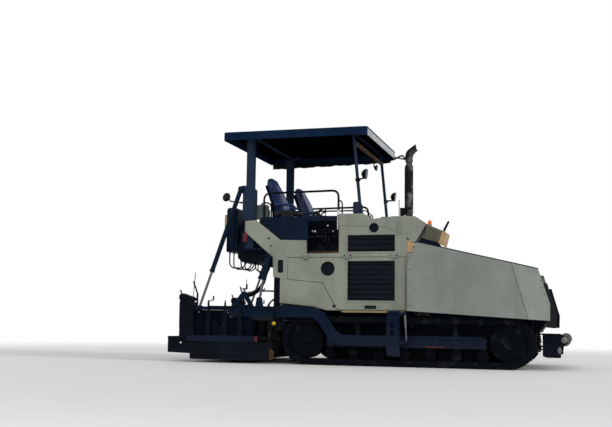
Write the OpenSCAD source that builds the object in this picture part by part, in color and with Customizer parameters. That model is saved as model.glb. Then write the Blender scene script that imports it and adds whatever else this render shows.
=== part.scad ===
// Tracked asphalt paver with a canopy, folding hopper wings and an extending screed.
// X points forward in the direction of travel, Y to the left, Z up; the ground is Z = 0.

/* [Tracks] */
// Distance between sprocket and idler centres
track_len = 3185; // [3100:5:3260]
// Place of the sprocket centre along the machine
sprocket_x = -870; // [-890:5:-850]
// Height of the track over its shoes
track_h = 770; // [740:5:780]
// Width of the track shoes
shoe_w = 305; // [280:5:315]
// Number of shoes on one track
shoe_count = 56; // [40:1:60]
// Height of a shoe above the gaps between shoes
shoe_h = 26; // [10:1:35]
// Thickness of the whole track band, shoes included
band_t = 100; // [90:1:110]
// Number of lower rollers on one side
roller_count = 7; // [5:1:8]
// Radius of a lower roller
roller_r = 85; // [70:1:95]

/* [Chassis] */
// Lower face of the main frame
frame_z0 = 260; // [230:5:300]
// Rear end of the main frame
frame_x0 = -1200; // [-1215:5:-1150]
// Thickness of the frame plates
frame_t = 30; // [20:1:40]
// Distance of the lashing lugs from the middle
lug_y = 600; // [540:5:700]
// Thickness of the lashing lugs
lug_t = 25; // [20:1:30]
// Radius of the hole in a lashing lug
lug_r = 16; // [12:0.5:18]

/* [Body] */
// Lower edge of the side panels
skirt_z = 862; // [850:1:900]
// Height of the seam that the side doors hang from
seam_z = 1700; // [1680:1:1715]
// Front of the side panels
body_x1 = 765; // [740:1:768]
// Thickness of the side walls and doors
wall_t = 40; // [25:1:50]
// Height of the operator's floor
deck_z = 1862; // [1850:1:1900]
// Top edge of the platform's sides
side_z = 2372; // [2330:1:2390]
// Highest part of the hood
hood_z = 2398; // [2380:1:2420]
// Side of the square gap round a side door
door_gap = 6; // [5:0.5:10]
// Thickness of the dark grille slats
slat_t = 12; // [8:1:16]
// Lower edge of the lower side grille
low_grille_z0 = 1020; // [1000:5:1060]
// Number of slats in the lower grille
low_slats = 8; // [5:1:10]
// Number of slats in the upper grille
top_slats = 3; // [2:1:5]

/* [Hopper] */
// Height of the wing hinges
wing_pivot_z = 820; // [815:5:840]
// Radius of the wing hinge pins
wing_pin_r = 16; // [12:1:20]
// Rear edge of the wings
wing_x0 = 785; // [780:1:800]
// Thickness of the wing plates
wing_t = 14; // [8:1:16]
// Top of the wing's rear end
wing_top_z = 1925; // [1850:5:1980]
// Upper face of the conveyors
conveyor_z = 640; // [620:5:660]
// Radius of the push rollers
push_r = 92; // [70:1:95]
// Height of the push roller axis
push_z = 455; // [430:5:480]

/* [Canopy] */
// Top of the canopy
canopy_z = 3800; // [3700:5:3850]
// Depth of the canopy's rim
rim_h = 150; // [120:5:190]
// Rear edge of the canopy
canopy_x0 = -2290; // [-2340:5:-2240]
// Front edge of the canopy
canopy_x1 = 130; // [100:5:160]
// Thickness of the canopy sheet
canopy_t = 30; // [20:1:40]
// Side of the rear post's square section
post_w = 130; // [100:5:140]

/* [Screed] */
// Height of the tow point pin
tow_z = 388; // [380:1:400]
// Place of the tow point pin
tow_x = 560; // [550:5:570]
// Radius of the tow point pin
tow_pin_r = 28; // [22:1:32]
// Thickness of the tow arms
arm_t = 72; // [60:1:74]
// Outer face of the tow arms
arm_out = 1238; // [1234:1:1240]
// Gap between the screed plates and the ground as parked
screed_gap = 55; // [50:1:60]
// Thickness of the end gates
gate_t = 22; // [15:1:28]
// Distances between the four holes in an end gate, along and up
gate_holes = [160, 140];
// Radius of the holes in the end gates
gate_hole_r = 11; // [8:0.5:13]
// Front face of the main screed
screed_x1 = -1702; // [-1720:1:-1695]
// Rear face of the extensions
ext_x0 = -2790; // [-2810:5:-2770]
// Rear edge of the walkway
walk_x0 = -3200; // [-3220:5:-3180]
// Radius of the extension guide rods
guide_r = 48; // [40:1:55]
// Radius of the augers
auger_r = 188; // [170:1:192]
// Place of the auger axis
auger_x = -1470; // [-1475:1:-1465]
// Height of the auger axis
auger_z = 335; // [320:5:345]
// Advance of the auger flight in one turn
auger_pitch = 330; // [280:10:400]
// Radius of the lift cylinder barrels
lift_r = 38; // [30:1:40]

/* [Hidden] */

cream = "#cfc9b0";
navy = "#232c3a";
dark = "#22252a";
steel = "#8d9196";

run = 0.3;
pin_gap = 0.05;

// Widths, all from the outer face of the tow arms
arm_in = arm_out - arm_t;
arm_y = arm_out - arm_t / 2;
body_half = arm_in - 16;
wing_out = arm_out - 3;
gate_out = arm_out + 37;
track_y = arm_in - 38.5 - shoe_w / 2;
frame_half = track_y - shoe_w / 2 - 47.5;
tunnel_half = frame_half - 290;
wing_pivot_y = frame_half - 75;
push_half = frame_half + 175;
canopy_half = arm_out + 12;
post_y = body_half - 65;
lift_y = arm_y;

// Lengths, from the tracks
track_r = track_h / 2;
idler_x = sprocket_x + track_len;
frame_x1 = idler_x + track_r - 10;
wing_x1 = frame_x1 + 221;
push_x = frame_x1 + 418;
nose = frame_x1 - 2690;
ext_gap = 12;
case_half = 70;

function unit(v) = v / norm(v);

// Corner points of a polyline softened by short arcs of k + 1 points
function soften(p, r, k = 4) = [
  for (i = [0:len(p) - 1])
    if (i == 0 || i == len(p) - 1) p[i]
    else let (a = p[i] + unit(p[i - 1] - p[i]) * r, b = p[i] + unit(p[i + 1] - p[i]) * r)
      for (j = [0:k]) let (t = j / k) a * (1 - t) * (1 - t) + p[i] * 2 * t * (1 - t) + b * t * t];

// Round tube of n sides along a path; side is a direction that the path never follows
module tube(path, d, side = [0, 1, 0], n = 8) {
  m = len(path);
  dirs = [for (i = [0:m - 1]) unit(path[min(i + 1, m - 1)] - path[max(i - 1, 0)])];
  rings = [for (i = [0:m - 1]) let (u = unit(cross(side, dirs[i])), w = cross(dirs[i], u))
    for (j = [0:n - 1]) path[i] + (u * cos(360 * j / n) + w * sin(360 * j / n)) * d / 2];
  walls = [for (i = [0:m - 2], j = [0:n - 1])
    [i * n + j, (i + 1) * n + j, (i + 1) * n + (j + 1) % n, i * n + (j + 1) % n]];
  polyhedron(rings, concat(walls, [[for (j = [0:n - 1]) j]],
    [[for (j = [n - 1:-1:0]) (m - 1) * n + j]]), convexity = 4);
}

module box(x0, x1, y0, y1, z0, z1) translate([x0, y0, z0]) cube([x1 - x0, y1 - y0, z1 - z0]);

// Side-view outline given in X and Z, from y0 to y1
module slab_xz(points, y0, y1)
  translate([0, y1, 0]) rotate([90, 0, 0]) linear_extrude(height = y1 - y0) polygon(points);

// Cross-section given in Y and Z, from x0 to x1
module slab_yz(points, x0, x1)
  translate([x0, 0, 0]) rotate([90, 0, 90]) linear_extrude(height = x1 - x0) polygon(points);

module ycyl(x, z, y0, y1, r, fn = 32)
  translate([x, y0, z]) rotate([-90, 0, 0]) cylinder(r = r, h = y1 - y0, $fn = fn);

module xcyl(y, z, x0, x1, r, fn = 32)
  translate([x0, y, z]) rotate([0, 90, 0]) cylinder(r = r, h = x1 - x0, $fn = fn);

module zcyl(x, y, z0, z1, r, fn = 32)
  translate([x, y, z0]) cylinder(r = r, h = z1 - z0, $fn = fn);

// Straight round bar from p to q
module bar(p, q, r, fn = 24) {
  v = q - p;
  translate(p) rotate([0, acos(v.z / norm(v)), atan2(v.y, v.x)])
    cylinder(r = r, h = norm(v), $fn = fn);
}

// Closed outline with every corner rounded by an arc of k + 1 points
function rounded(p, r, k = 4) = let (n = len(p)) [
  for (i = [0:n - 1]) let (a = p[(i + n - 1) % n] - p[i], b = p[(i + 1) % n] - p[i],
    m = min(r, norm(a) / 2.2, norm(b) / 2.2))
    for (j = [0:k]) let (t = j / k)
      p[i] + unit(a) * m * (1 - t) * (1 - t) + unit(b) * m * t * t];

module both() {
  children();
  mirror([0, 1, 0]) children();
}

// Point on a loop round two wheels: s runs along the loop of radius r0, r is the point's radius
function loop_point(s, r, r0, len, x0, z0) =
  s < len ? [x0 + s, z0 - r] :
  s < len + PI * r0 ? let (a = (s - len) / r0 * 180 / PI - 90) [x0 + len + r * cos(a), z0 + r * sin(a)] :
  s < 2 * len + PI * r0 ? [x0 + len - (s - len - PI * r0), z0 + r] :
  let (a = (s - 2 * len - PI * r0) / r0 * 180 / PI + 90) [x0 + r * cos(a), z0 + r * sin(a)];

// Endless band whose outer side carries n bars, each taking the share fill of its pitch
module band(x0, z0, len, r_out, bar_h, thick, n, fill, y0, y1) {
  pitch = (2 * len + 2 * PI * r_out) / n;
  low = r_out - bar_h;
  outline = [for (k = [0:n - 1], c = [[0, low], [0.05, r_out], [fill - 0.05, r_out], [fill, low]])
    loop_point((k + c[0]) * pitch + 0.01, c[1], r_out, len, x0, z0)];
  r_in = r_out - thick;
  inner = [for (e = [[x0 + len, -90], [x0, 90]], j = [0:10])
    [e[0] + r_in * cos(e[1] + 18 * j), z0 + r_in * sin(e[1] + 18 * j)]];
  translate([0, y1, 0]) rotate([90, 0, 0]) linear_extrude(height = y1 - y0)
    difference() {
      polygon(outline);
      polygon(inner);
    }
}

// Tracks

module track(side) color(dark)
  band(sprocket_x, track_r, track_len, track_r, shoe_h, band_t, shoe_count, 0.9,
    side * track_y - shoe_w / 2, side * track_y + shoe_w / 2);

wheel_r = (track_r - band_t) * cos(9) - run;
roller_z = band_t + roller_r + run;
carrier_r = 48;
carrier_z = track_h - band_t - carrier_r - run;
carrier_x = [-30, idler_x - 815];
roller_x = [for (k = [0:roller_count - 1]) idler_x - 400 - k * (track_len - 800) / (roller_count - 1)];
wheel_half = 105;
beam_half = 85;
beam_z0 = 295;
beam_z1 = 480;

// Cover disc of a track wheel, turned about its axis
module wheel_cover(r) rotate([-90, 0, 0]) rotate_extrude($fn = 40)
  polygon([[0, 0], [0.84 * r, 0], [0.84 * r, 14], [0.78 * r, 20], [0.6 * r, 20], [0.56 * r, 12],
      [0.34 * r, 12],
    [0.31 * r, 34], [0.16 * r, 34], [0.14 * r, 40], [0, 40]]);

module track_wheels() color(dark) both() {
  for (x = [sprocket_x, idler_x]) {
    ycyl(x, track_r, track_y - wheel_half, track_y + wheel_half, wheel_r, 40);
    translate([x, track_y + wheel_half - 1, track_r]) wheel_cover(wheel_r);
  }
  for (x = roller_x) {
    ycyl(x, roller_z, track_y - wheel_half, track_y + wheel_half, roller_r, 28);
    ycyl(x, roller_z, track_y + wheel_half, track_y + wheel_half + 16, 0.5 * roller_r, 20);
  }
  for (x = carrier_x)
    ycyl(x, carrier_z, track_y - wheel_half, track_y + wheel_half, carrier_r, 24);
}

module track_frames() color(navy) both() {
  difference() {
    slab_xz(rounded([[sprocket_x + wheel_r + 60, beam_z0], [idler_x - wheel_r - 60, beam_z0],
      [idler_x - wheel_r - 60, beam_z1 - 30], [idler_x - wheel_r - 140, beam_z1],
      [sprocket_x + wheel_r + 120, beam_z1], [sprocket_x + wheel_r + 60, beam_z1 - 40]], 24, 3),
      track_y - beam_half, track_y + beam_half + 22);
    for (k = [0:3]) slab_xz(rounded([for (c = [[0, 0], [420, 0], [420, 90], [0, 90]])
      [sprocket_x + wheel_r + 230 + k * (track_len - 2 * wheel_r - 480) / 4 + c.x, beam_z0 + 48 + c.y]],
          26, 3),
      track_y + beam_half + 8, track_y + beam_half + 23);
  }
  for (k = [0:2]) let (x = sprocket_x + 520 + k * (track_len - 1140) / 2)
    box(x, x + 220, frame_half, track_y - beam_half, beam_z0 + 20, beam_z1 - 20);
  for (x = roller_x)
    slab_xz([[x - 46, beam_z0], [x - 26, roller_z + roller_r + run], [x + 26, roller_z + roller_r + run],
      [x + 46, beam_z0]], track_y - 60, track_y + 60);
  for (x = carrier_x)
    slab_xz([[x - 50, beam_z1], [x - 22, carrier_z - carrier_r - run], [x + 22, carrier_z - carrier_r - run],
      [x + 50, beam_z1]], track_y - 60, track_y + 60);
}

// Main frame with the conveyor tunnel; the front part is lower and carries the hopper
tunnel_z0 = frame_z0 + frame_t;
hopper_base_z = 560;
beam_x = [frame_x1 + 100, frame_x1 + 270];
beam_z = [350, 515];
pivot_x = frame_x1 + 170;
pivot_r = 30;
lug_len = 66;
lug_x = 36;
module chassis() color(dark) {
  difference() {
    slab_xz([[frame_x0, frame_z0], [frame_x1, frame_z0], [frame_x1, hopper_base_z],
      [body_x1 - 40, hopper_base_z], [body_x1 - 40, skirt_z], [frame_x0, skirt_z]],
      -frame_half, frame_half);
    box(frame_x0 - 1, frame_x1 + 1, -tunnel_half, tunnel_half, tunnel_z0, skirt_z - frame_t);
  }
  box(frame_x0, frame_x1, -frame_t / 2, frame_t / 2, tunnel_z0, tunnel_z0 + 120);
  for (z = [beam_z[0] - 28, beam_z[1] + 5]) box(frame_x1 - 1, pivot_x + 60, -110, 110, z, z + 23);
  zcyl(pivot_x, 0, beam_z[0] - 28, beam_z[1] + 28, pivot_r);
  both() difference() {
    slab_xz(rounded([[frame_x1 - 20, frame_z0 + 4], [frame_x1 + lug_len, frame_z0 + 4],
      [frame_x1 + lug_len, frame_z0 + 74], [frame_x1 - 20, frame_z0 + 78]], 20, 3), lug_y, lug_y + lug_t);
    ycyl(frame_x1 + lug_x, frame_z0 + 37, lug_y - 1, lug_y + lug_t + 1, lug_r);
  }
  both() difference() {
    box(frame_x0 - lug_len, frame_x0 + 20, lug_y - 35, lug_y + 35, frame_z0, frame_z0 + lug_t);
    zcyl(frame_x0 - lug_x, lug_y, frame_z0 - 1, frame_z0 + lug_t + 1, lug_r);
  }
}

module engine() color(steel) box(-420, 560, -330, 330, skirt_z + run, 1640);

// Body: side walls, front and rear walls and the deck under the operator
door_x0 = -1170;
door_x1 = body_x1 - 25;
door_outline = [[door_x0, 1352], [-588, 1302], [-344, skirt_z + 12], [door_x1, skirt_z + 12],
  [door_x1, seam_z], [door_x0, seam_z]];
stack = [430, 950];
stack_r = 68;
side_outline = [[-1420, 1392], [-1300, 1375], [-1300, 972], [-714, 918], [-523, skirt_z],
  [body_x1, skirt_z], [body_x1, 2343], [560, 2343], [229, 2308], [66, hood_z], [-326, hood_z],
  [-326, 1772], [-862, 1766], [-870, 1980], [-1310, 1990], [-1730, 2320], [-1920, 2312],
  [-1920, 2130], [-1430, 1710]];
hinge_x = [-870, -181, 560];
hinge_r = 13;
hinge_pin_r = 6;
slot_outline = [[-1338, 1459], [-1253, 1459], [-1253, 1665], [-1338, 1665]];
foot_slot = [99, 285, 888, 942];
grille_x = [-180, 580];
top_grille_z = [1790, 2052];
top_vent = [243, 2165, 62];
low_vent = [-505, 1522, 100];

module side_wall(y0, y1, outer, hand) difference() {
  slab_xz(side_outline, y0, y1);
  slab_xz([for (p = door_outline) [
    p.x + (p.x > 0 ? door_gap : -door_gap), p.y + (p.y > 1500 ? door_gap : -door_gap)]],
    y0 - 1, y1 + 1);
  box(grille_x[0], grille_x[1], y0 - 1, y1 + 1, top_grille_z[0], top_grille_z[1]);
  ycyl(top_vent[0], top_vent[1], y0 - 1, y1 + 1, top_vent[2], 32);
  for (x = hinge_x) xcyl(outer, seam_z, x - 70, x + 70, hinge_r + 2, 24);
  // Shallow seams and the slot pocket on the outer face
  pocket(rounded(slot_outline, 20, 3), outer, hand, 26);
  pocket([[-1301, 1366], [door_x0 - 4, 1355], [door_x0 - 4, 1349], [-1301, 1360]], outer, hand, 4);
  pocket([[-326, 2210], [406, 2178], [650, 2070], [body_x1 + 1, 2062], [body_x1 + 1, 2056], [648, 2064],
    [404, 2172], [-326, 2204]], outer, hand, 4);
  for (h = [[-1502, 2020, 15], [-1465, 1894, 11]])
    pocket([for (k = [0:19]) [h[0] + h[2] * cos(18 * k), h[1] + h[2] * sin(18 * k)]], outer, hand, 20);
}

// Cutter for a pocket of the given depth in a wall's outer face
module pocket(points, outer, hand, depth)
  slab_xz(points, hand < 0 ? outer - 1 : outer - depth, hand < 0 ? outer + depth : outer + 1);

module engine_housing() color(cream) {
  side_wall(-body_half, -body_half + wall_t, -body_half, -1);
  side_wall(body_half - wall_t, body_half, body_half, 1);
  box(body_x1 - 30, body_x1, -body_half + wall_t, body_half - wall_t, skirt_z, 2298);
  box(-1300, -1270, -body_half + wall_t, body_half - wall_t, skirt_z, 1740);
  box(-1300, body_x1 - 30, -body_half + wall_t, body_half - wall_t, 1740, 1766);
  box(-326, -300, -body_half + wall_t, body_half - wall_t, 1766, 2330);
  // Hinge halves above the side doors
  both() for (x = hinge_x) {
    for (e = [-66, 36]) difference() {
      union() {
        xcyl(body_half, seam_z, x + e, x + e + 30, hinge_r, 24);
        box(x + e, x + e + 30, body_half - 20, body_half + 5, seam_z + 6, seam_z + 46);
      }
    }
    xcyl(body_half, seam_z, x - 40, x + 40, hinge_pin_r, 20);
  }
  // Guide rod in two clips on the right side
  bar([652, -body_half - 12, 2050], [646, -body_half - 12, 2600], 8, 16);
  for (z = [2062, 2190]) box(636, 666, -body_half - 24, -body_half + 1, z, z + 14);
}

module grille(x0, x1, z0, z1, count, y0, y1) {
  pitch = (z1 - z0) / count;
  box(x0, x1, y0, y0 + 6, z0, z1);
  for (k = [0:count - 1])
    slab_yz([[y0 + 6, z0 + (k + 0.15) * pitch], [y1, z0 + (k + 0.4) * pitch],
      [y1, z0 + (k + 0.4) * pitch + slat_t], [y0 + 6, z0 + (k + 0.15) * pitch + slat_t]], x0, x1);
}

module top_grilles() color(dark) both() {
  grille(grille_x[0], grille_x[1], top_grille_z[0], top_grille_z[1], top_slats,
    body_half - 34, body_half - 6);
  vent(top_vent, body_half - 30, body_half - 8);
  slab_xz(rounded(slot_outline, 20, 3), body_half - 25.7, body_half - 10);
}

// Round vent: a disc with a raised rim and cross slots
module vent(v, y0, y1) difference() {
  ycyl(v[0], v[1], y0, y1, v[2], 32);
  difference() {
    ycyl(v[0], v[1], y1 - 8, y1 + 1, 0.86 * v[2], 32);
    for (k = [-2:2]) box(v[0] - v[2], v[0] + v[2], y1 - 9, y1 - 1, v[1] + (0.36 * k - 0.07) * v[2],
        v[1] + (0.36 * k + 0.07) * v[2]);
  }
}

module door(side) color(cream) mirror([0, side < 0 ? 1 : 0, 0]) {
  difference() {
    union() {
      slab_xz(door_outline, body_half - wall_t, body_half);
      for (x = hinge_x) {
        xcyl(body_half, seam_z, x - 35.7, x + 35.7, hinge_r, 24);
        box(x - 35.7, x + 35.7, body_half - 2, body_half + 5, seam_z - 46, seam_z - 6);
      }
    }
    box(grille_x[0], grille_x[1], 0, body_half + 1, low_grille_z0, 1640);
    ycyl(low_vent[0], low_vent[1], 0, body_half + 1, low_vent[2], 32);
    box(foot_slot[0], foot_slot[1], body_half - 16, body_half + 1, foot_slot[2], foot_slot[3]);
    for (x = hinge_x) {
      xcyl(body_half, seam_z, x - 36, x + 36, hinge_pin_r + pin_gap, 20);
      for (e = [-72, 36]) box(x + e, x + e + 36, body_half - 20, body_half + 20, seam_z - 16, seam_z + 1);
    }
  }
}

module door_grille(side) color(dark) mirror([0, side < 0 ? 1 : 0, 0]) {
  grille(grille_x[0], grille_x[1], low_grille_z0, 1640, low_slats, body_half - 34, body_half - 6);
  vent(low_vent, body_half - 34, body_half - 8);
  box(foot_slot[0], foot_slot[1], body_half - 15.7, body_half - 9, foot_slot[2], foot_slot[3]);
}

module hood() color(cream) difference() {
  union() {
    slab_xz([[-300, 2330], [-300, hood_z], [66, hood_z], [229, 2308], [560, 2343], [body_x1, 2343],
      [body_x1, 2300], [229, 2270], [40, 2330]], -body_half + wall_t, body_half - wall_t);
    slab_xz(rounded([[-262, hood_z - 2], [30, hood_z - 2], [30, hood_z + 10], [-262, hood_z + 10]],
        6, 2), -720, 720);
    slab_xz([[262, 2310], [545, 2340], [545, 2350], [262, 2321]], -640, 640);
  }
  zcyl(stack.x, stack.y, 2200, 2400, stack_r + 6, 40);
}

pod_y0 = -1148;
pod_y1 = -600;
snout_low = [1253, 1919];
// Air intake: a cowl ahead of the body with a louvred snout and its end block
module intake_box() color(cream) {
  slab_xz([[body_x1 + run, 2015], [body_x1 + run, 2343], [898, 2337], [1074, 2219], [898, 1933],
      [840, 1940]],
    pod_y0, pod_y1);
  difference() {
    slab_xz([[1030, 2010], [1070, 2212], [1320, 2107], snout_low, [985, 2000]], pod_y0 + 30, pod_y1 - 60);
    for (k = [1:5]) let (d = 34 * k)
      slab_xz([[1062 - d * 0.3, 2212 - d], [1330 - d * 0.3, 2100 - d], [1328 - d * 0.3, 2091 - d],
          [1060 - d * 0.3, 2203 - d]],
        pod_y0 + 29, pod_y0 + 42);
  }
  slab_xz(rounded([[1320, 2112], [1366, 2074], [1314, 1876], [snout_low.x, snout_low.y - 4]], 12, 2),
    pod_y0 + 22, pod_y1 - 52);
  box(1084, 1140, -1080, -1000, 2150, 2212);
}

// Operator's platform: floor, sides and the recess with its steps
module platform() color(navy) {
  difference() {
    box(-1950, -326 - run, -body_half + wall_t, body_half - wall_t, deck_z - 30, deck_z);
    both() box(well_x[0] - 22, -300, 880, body_half, deck_z - 31, deck_z + 1);
  }
  both() difference() {
    slab_xz([[-1640, deck_z], [-1310, 1990], [-326 - run, 1990], [-326 - run, side_z], [-1640, side_z]],
      body_half - wall_t - 30, body_half - wall_t);
    box(well_x[0], -300, 0, body_half + 1, 1792, 2290);
  }
  both() slab_xz([[-1646, side_z - 34], [-326 - run, side_z - 34], [-326 - run, side_z], [-1646, side_z]],
    body_half - wall_t - 58, body_half - wall_t);
  box(-1950, -1920, -body_half + wall_t, body_half - wall_t, deck_z, 2300);
  box(-356, -326 - run, -880, 880, deck_z, side_z);
  for (y = [-380, -360, 0, 360, 380]) box(-1900, -360, y - 6, y + 6, deck_z - 1, deck_z + 5);
}

// Wells in the platform's sides: back plate, end plate and two treads
well_x = [-860, -350];
module step_wells() color(navy) both() {
  box(well_x[0] - 22, -326 - run, 880, 900, 1792, side_z - 34 - run);
  box(well_x[0] - 22, well_x[0] - run, 900, body_half - wall_t - 30 - run, 1792, side_z - 34 - run);
  for (z = [1772, 2022])
    box(well_x[0] + run, well_x[1] - run, z < 1900 ? 880 : 900, body_half - 75, z, z + 20);
}

// Control desks: a pedestal, a sloping panel and a small steering wheel on its column
module consoles() color(dark) {
  for (y = [-seat_y, seat_y]) translate([210, 0, 0]) {
    slab_xz(rounded([[-1060, deck_z], [-1060, 2210], [-1110, 2300], [-1030, 2410], [-760, 2330],
        [-720, deck_z]], 40, 3),
      y - 170, y + 170);
    slab_xz(rounded([[-1080, 2300], [-1126, 2318], [-1040, 2428], [-1010, 2416]], 8, 2), y - 185, y + 185);
    bar([-960, y, 2360], [-1034, y, 2462], 16);
    translate([-1034, y, 2462]) rotate([0, -36, 0]) {
      rotate_extrude($fn = 40) translate([150, 0]) circle(r = 12, $fn = 20);
      for (a = [90, 210, 330]) rotate([0, 0, a]) translate([0, -9, -5]) cube([150, 18, 10]);
      cylinder(r = 26, h = 14, center = true, $fn = 24);
    }
  }
  slab_xz(rounded([[-1690, deck_z + run], [-1560, deck_z + run], [-1560, 2500], [-1590, 2530],
      [-1690, 2530]], 14, 2),
    -1050, -940);
}

// Seats: bellows, pan, cushion, leaning back with side bolsters, and armrests
seat_y = 620;
module seat() {
  slab_xz(concat([for (k = [0:4]) for (q = [[-1500, 2], [-1526, 36]]) [q[0], deck_z + 20 + k * 80 + q[1]]],
    [for (k = [4:-1:0]) for (q = [[-1274, 36], [-1270, 2]]) [q[0], deck_z + 20 + k * 80 + q[1]]]),
        -130, 130);
  box(-1560, -1220, -170, 170, deck_z, deck_z + 24);
  slab_xz(rounded([[-1600, 2236], [-1190, 2236], [-1150, 2262], [-1170, 2290], [-1600, 2300]], 12, 2),
      -215, 215);
  slab_xz(rounded([[-1560, 2288], [-1130, 2296], [-1080, 2340], [-1100, 2410], [-1200, 2424],
    [-1560, 2392]], 34, 4), -235, 235);
  slab_xz(rounded([[-1450, 2396], [-1326, 2420], [-1356, 2560], [-1570, 3010], [-1600, 3096], [-1650, 3116],
    [-1712, 3070], [-1690, 2980], [-1560, 2600], [-1540, 2330], [-1480, 2320]], 40, 4), -170, 170);
  for (y = [-238, 158])
    slab_xz(rounded([[-1420, 2440], [-1300, 2470], [-1300, 2580], [-1520, 3010], [-1570, 3060],
        [-1620, 3060],
      [-1668, 2990], [-1540, 2600], [-1530, 2400]], 40, 4), y, y + 80);
  for (y = [-296, 240]) {
    slab_xz(rounded([[-1500, 2586], [-1180, 2566], [-1170, 2606], [-1200, 2622], [-1500, 2640]], 14, 3),
        y, y + 56);
    ycyl(-1470, 2612, min(y + 20, 150 * sign(y)), max(y + 30, 150 * sign(y)), 16, 20);
  }
}
module seats() color(dark) {
  translate([0, -seat_y, 0]) seat();
  translate([110, seat_y, 0]) seat();
}

rail_d = 36;
module handrails() color(dark) {
  both() {
    tube(soften([[-1612, post_y + 10, side_z + run], [-1616, post_y + 10, 2765], [-352, post_y + 10, 2784],
      [-350, post_y + 10, side_z + run]], 110), rail_d);
    tube(soften([[-1712, 1000, deck_z + run], [-1712, 1000, 2622], [-1520, 1000, 2622],
      [-1520, 1000, deck_z + run]], 90), 26);
    tube(soften([[-752, post_y + 10, side_z + run], [-752, post_y + 10, 2450],
        [-110.3, post_y + 10, 2450]], 40), 24);
    tube(soften([[-337, post_y + 10, 2620], [-289, post_y + 10, 2600],
        [-289, post_y + 10, hood_z + run]], 40), 24);
    tube(soften([[30, 1020, hood_z + run], [30, 1020, 2455], [80, 1020, 2455], [196, 1020, 2362],
      [196, 1020, 2331.8]], 14, 2), 18);
  }
  // Lever on the intake
  slab_xz([[1281, 2124], [1311, 2111.5], [1324, 2150], [1386, 2276], [1364, 2294], [1292, 2166]],
      -814, -786);
}

rear_corner = 18;
front_corner = 90;
module canopy() color(navy) difference() {
  intersection() {
    slab_yz([[-canopy_half, canopy_z - rim_h], [-canopy_half, canopy_z - 25],
      [-canopy_half + 60, canopy_z], [canopy_half - 60, canopy_z],
      [canopy_half, canopy_z - 25], [canopy_half, canopy_z - rim_h]], canopy_x0, canopy_x1);
    translate([0, 0, canopy_z - rim_h]) linear_extrude(height = rim_h)
      polygon([[canopy_x0, -canopy_half + rear_corner], [canopy_x0 + rear_corner, -canopy_half],
        [canopy_x1 - front_corner, -canopy_half], [canopy_x1, -canopy_half + front_corner],
        [canopy_x1, canopy_half - front_corner], [canopy_x1 - front_corner, canopy_half],
        [canopy_x0 + rear_corner, canopy_half], [canopy_x0, canopy_half - rear_corner]]);
  }
  translate([0, 0, canopy_z - rim_h - 1]) linear_extrude(height = rim_h - canopy_t - 24)
    polygon([for (c = [[0, -1], [1, -2], [1, -1], [1, 1], [1, 2], [0, 1]])
      [c.x == 0 ? canopy_x0 + canopy_t : canopy_x1 - canopy_t - (abs(c.y) == 2 ? front_corner : 0),
        sign(c.y) * (canopy_half - canopy_t - (abs(c.y) == 1 && c.x == 1 ? front_corner : 0))]]);
  for (y = [-840, -420, 420, 840]) box(canopy_x0 + 150, canopy_x1 - 150, y - 24, y + 24, canopy_z - 9,
      canopy_z + 1);
}

roof_in = canopy_z - canopy_t - 25;
module canopy_posts() color(navy) {
  both() {
    translate([0, 0, 2859]) linear_extrude(height = roof_in - run - 2859)
      polygon(rounded([for (c = [[0, -1], [1, -1], [1, 1], [0, 1]])
        [-1920 + c.x * post_w, post_y + c.y * post_w / 2]], 26, 3));
    slab_xz([[-1970, 2325], [-1760, 2325], [-1760, 2830], [-1800, 2860], [-1910, 2860], [-1970, 2800]],
      post_y - post_w / 2, post_y + post_w / 2);
    box(-1919.7, -1790, post_y - post_w / 2, body_half - wall_t - run, deck_z + run, 2326);
    bar([-118, post_y, roof_in - 20], [4, post_y, 2500], 26);
    slab_xz(rounded([[-110, hood_z + run], [40, hood_z + run], [40, 2540], [-20, 2592], [-110, 2592]],
        24, 3),
      post_y - 34, post_y + 20);
    slab_xz([[-1800, roof_in - run], [-1800, roof_in - 70], [-1780, roof_in - 70], [-1640, roof_in - 30],
      [-1640, roof_in - run]], post_y - 20, post_y + 20);
    slab_xz([[-1969, 2764], [-2016, 2800], [-2016, 2874], [-1985, 2896], [-1900, 2896], [-1900, 2764]],
      post_y + 60, lift_y - 42);
    ycyl(strut_top.x, strut_top.y, lift_y - 43, lift_y + 44, 20);
  }
  for (x = [-1900, -180])
    box(x, x + 80, -canopy_half + canopy_t + run, canopy_half - canopy_t - run, roof_in - 60, roof_in - run);
  bar([-97, -post_y, 3566], [-97, post_y, 3566], 30);
}

module exhaust() color(dark) {
  translate([stack.x, stack.y, 0]) rotate_extrude($fn = 40)
    polygon([[0, 2280], [stack_r, 2280], [stack_r + 5, 2300], [stack_r + 5, 2360], [stack_r, 2380],
      [stack_r, 2640], [stack_r + 5, 2646], [stack_r + 5, 2690], [stack_r, 2696], [stack_r - 5, 3460],
      [stack_r - 1, 3466], [stack_r - 1, 3500], [stack_r - 8, 3510], [44, 3568], [0, 3568]]);
  difference() {
    tube(soften([[stack.x, stack.y, 3540], [stack.x, stack.y, 3690], [stack.x + 128, stack.y, 3806]],
      70, 6), 92, n = 20);
    box(stack.x + 60, stack.x + 240, stack.y - 80, stack.y + 80, 3820, 3900);
  }
  slab_xz([[270, 2313.4], [338, 2320.6], [338, 2600], [stack.x, 2640], [stack.x, 2700], [330, 2735],
      [270, 2735]],
    stack.y - 28, stack.y + 28);
  bar([canopy_x1 + 8, 1120, 3690], [stack.x, stack.y, 3600], 13, 16);
}

// Head lamp turned about its axis, facing forward and a little down
module lamp_head(p, r) translate(p) rotate([0, 98, 0]) rotate_extrude($fn = 32)
  polygon([[0, -0.55 * r], [0.35 * r, -0.55 * r], [0.72 * r, -0.3 * r], [0.96 * r, 0.1 * r], [r, 0.3 * r],
    [r, 0.42 * r], [0.9 * r, 0.42 * r], [0.86 * r, 0.3 * r], [0, 0.34 * r]]);

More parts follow.
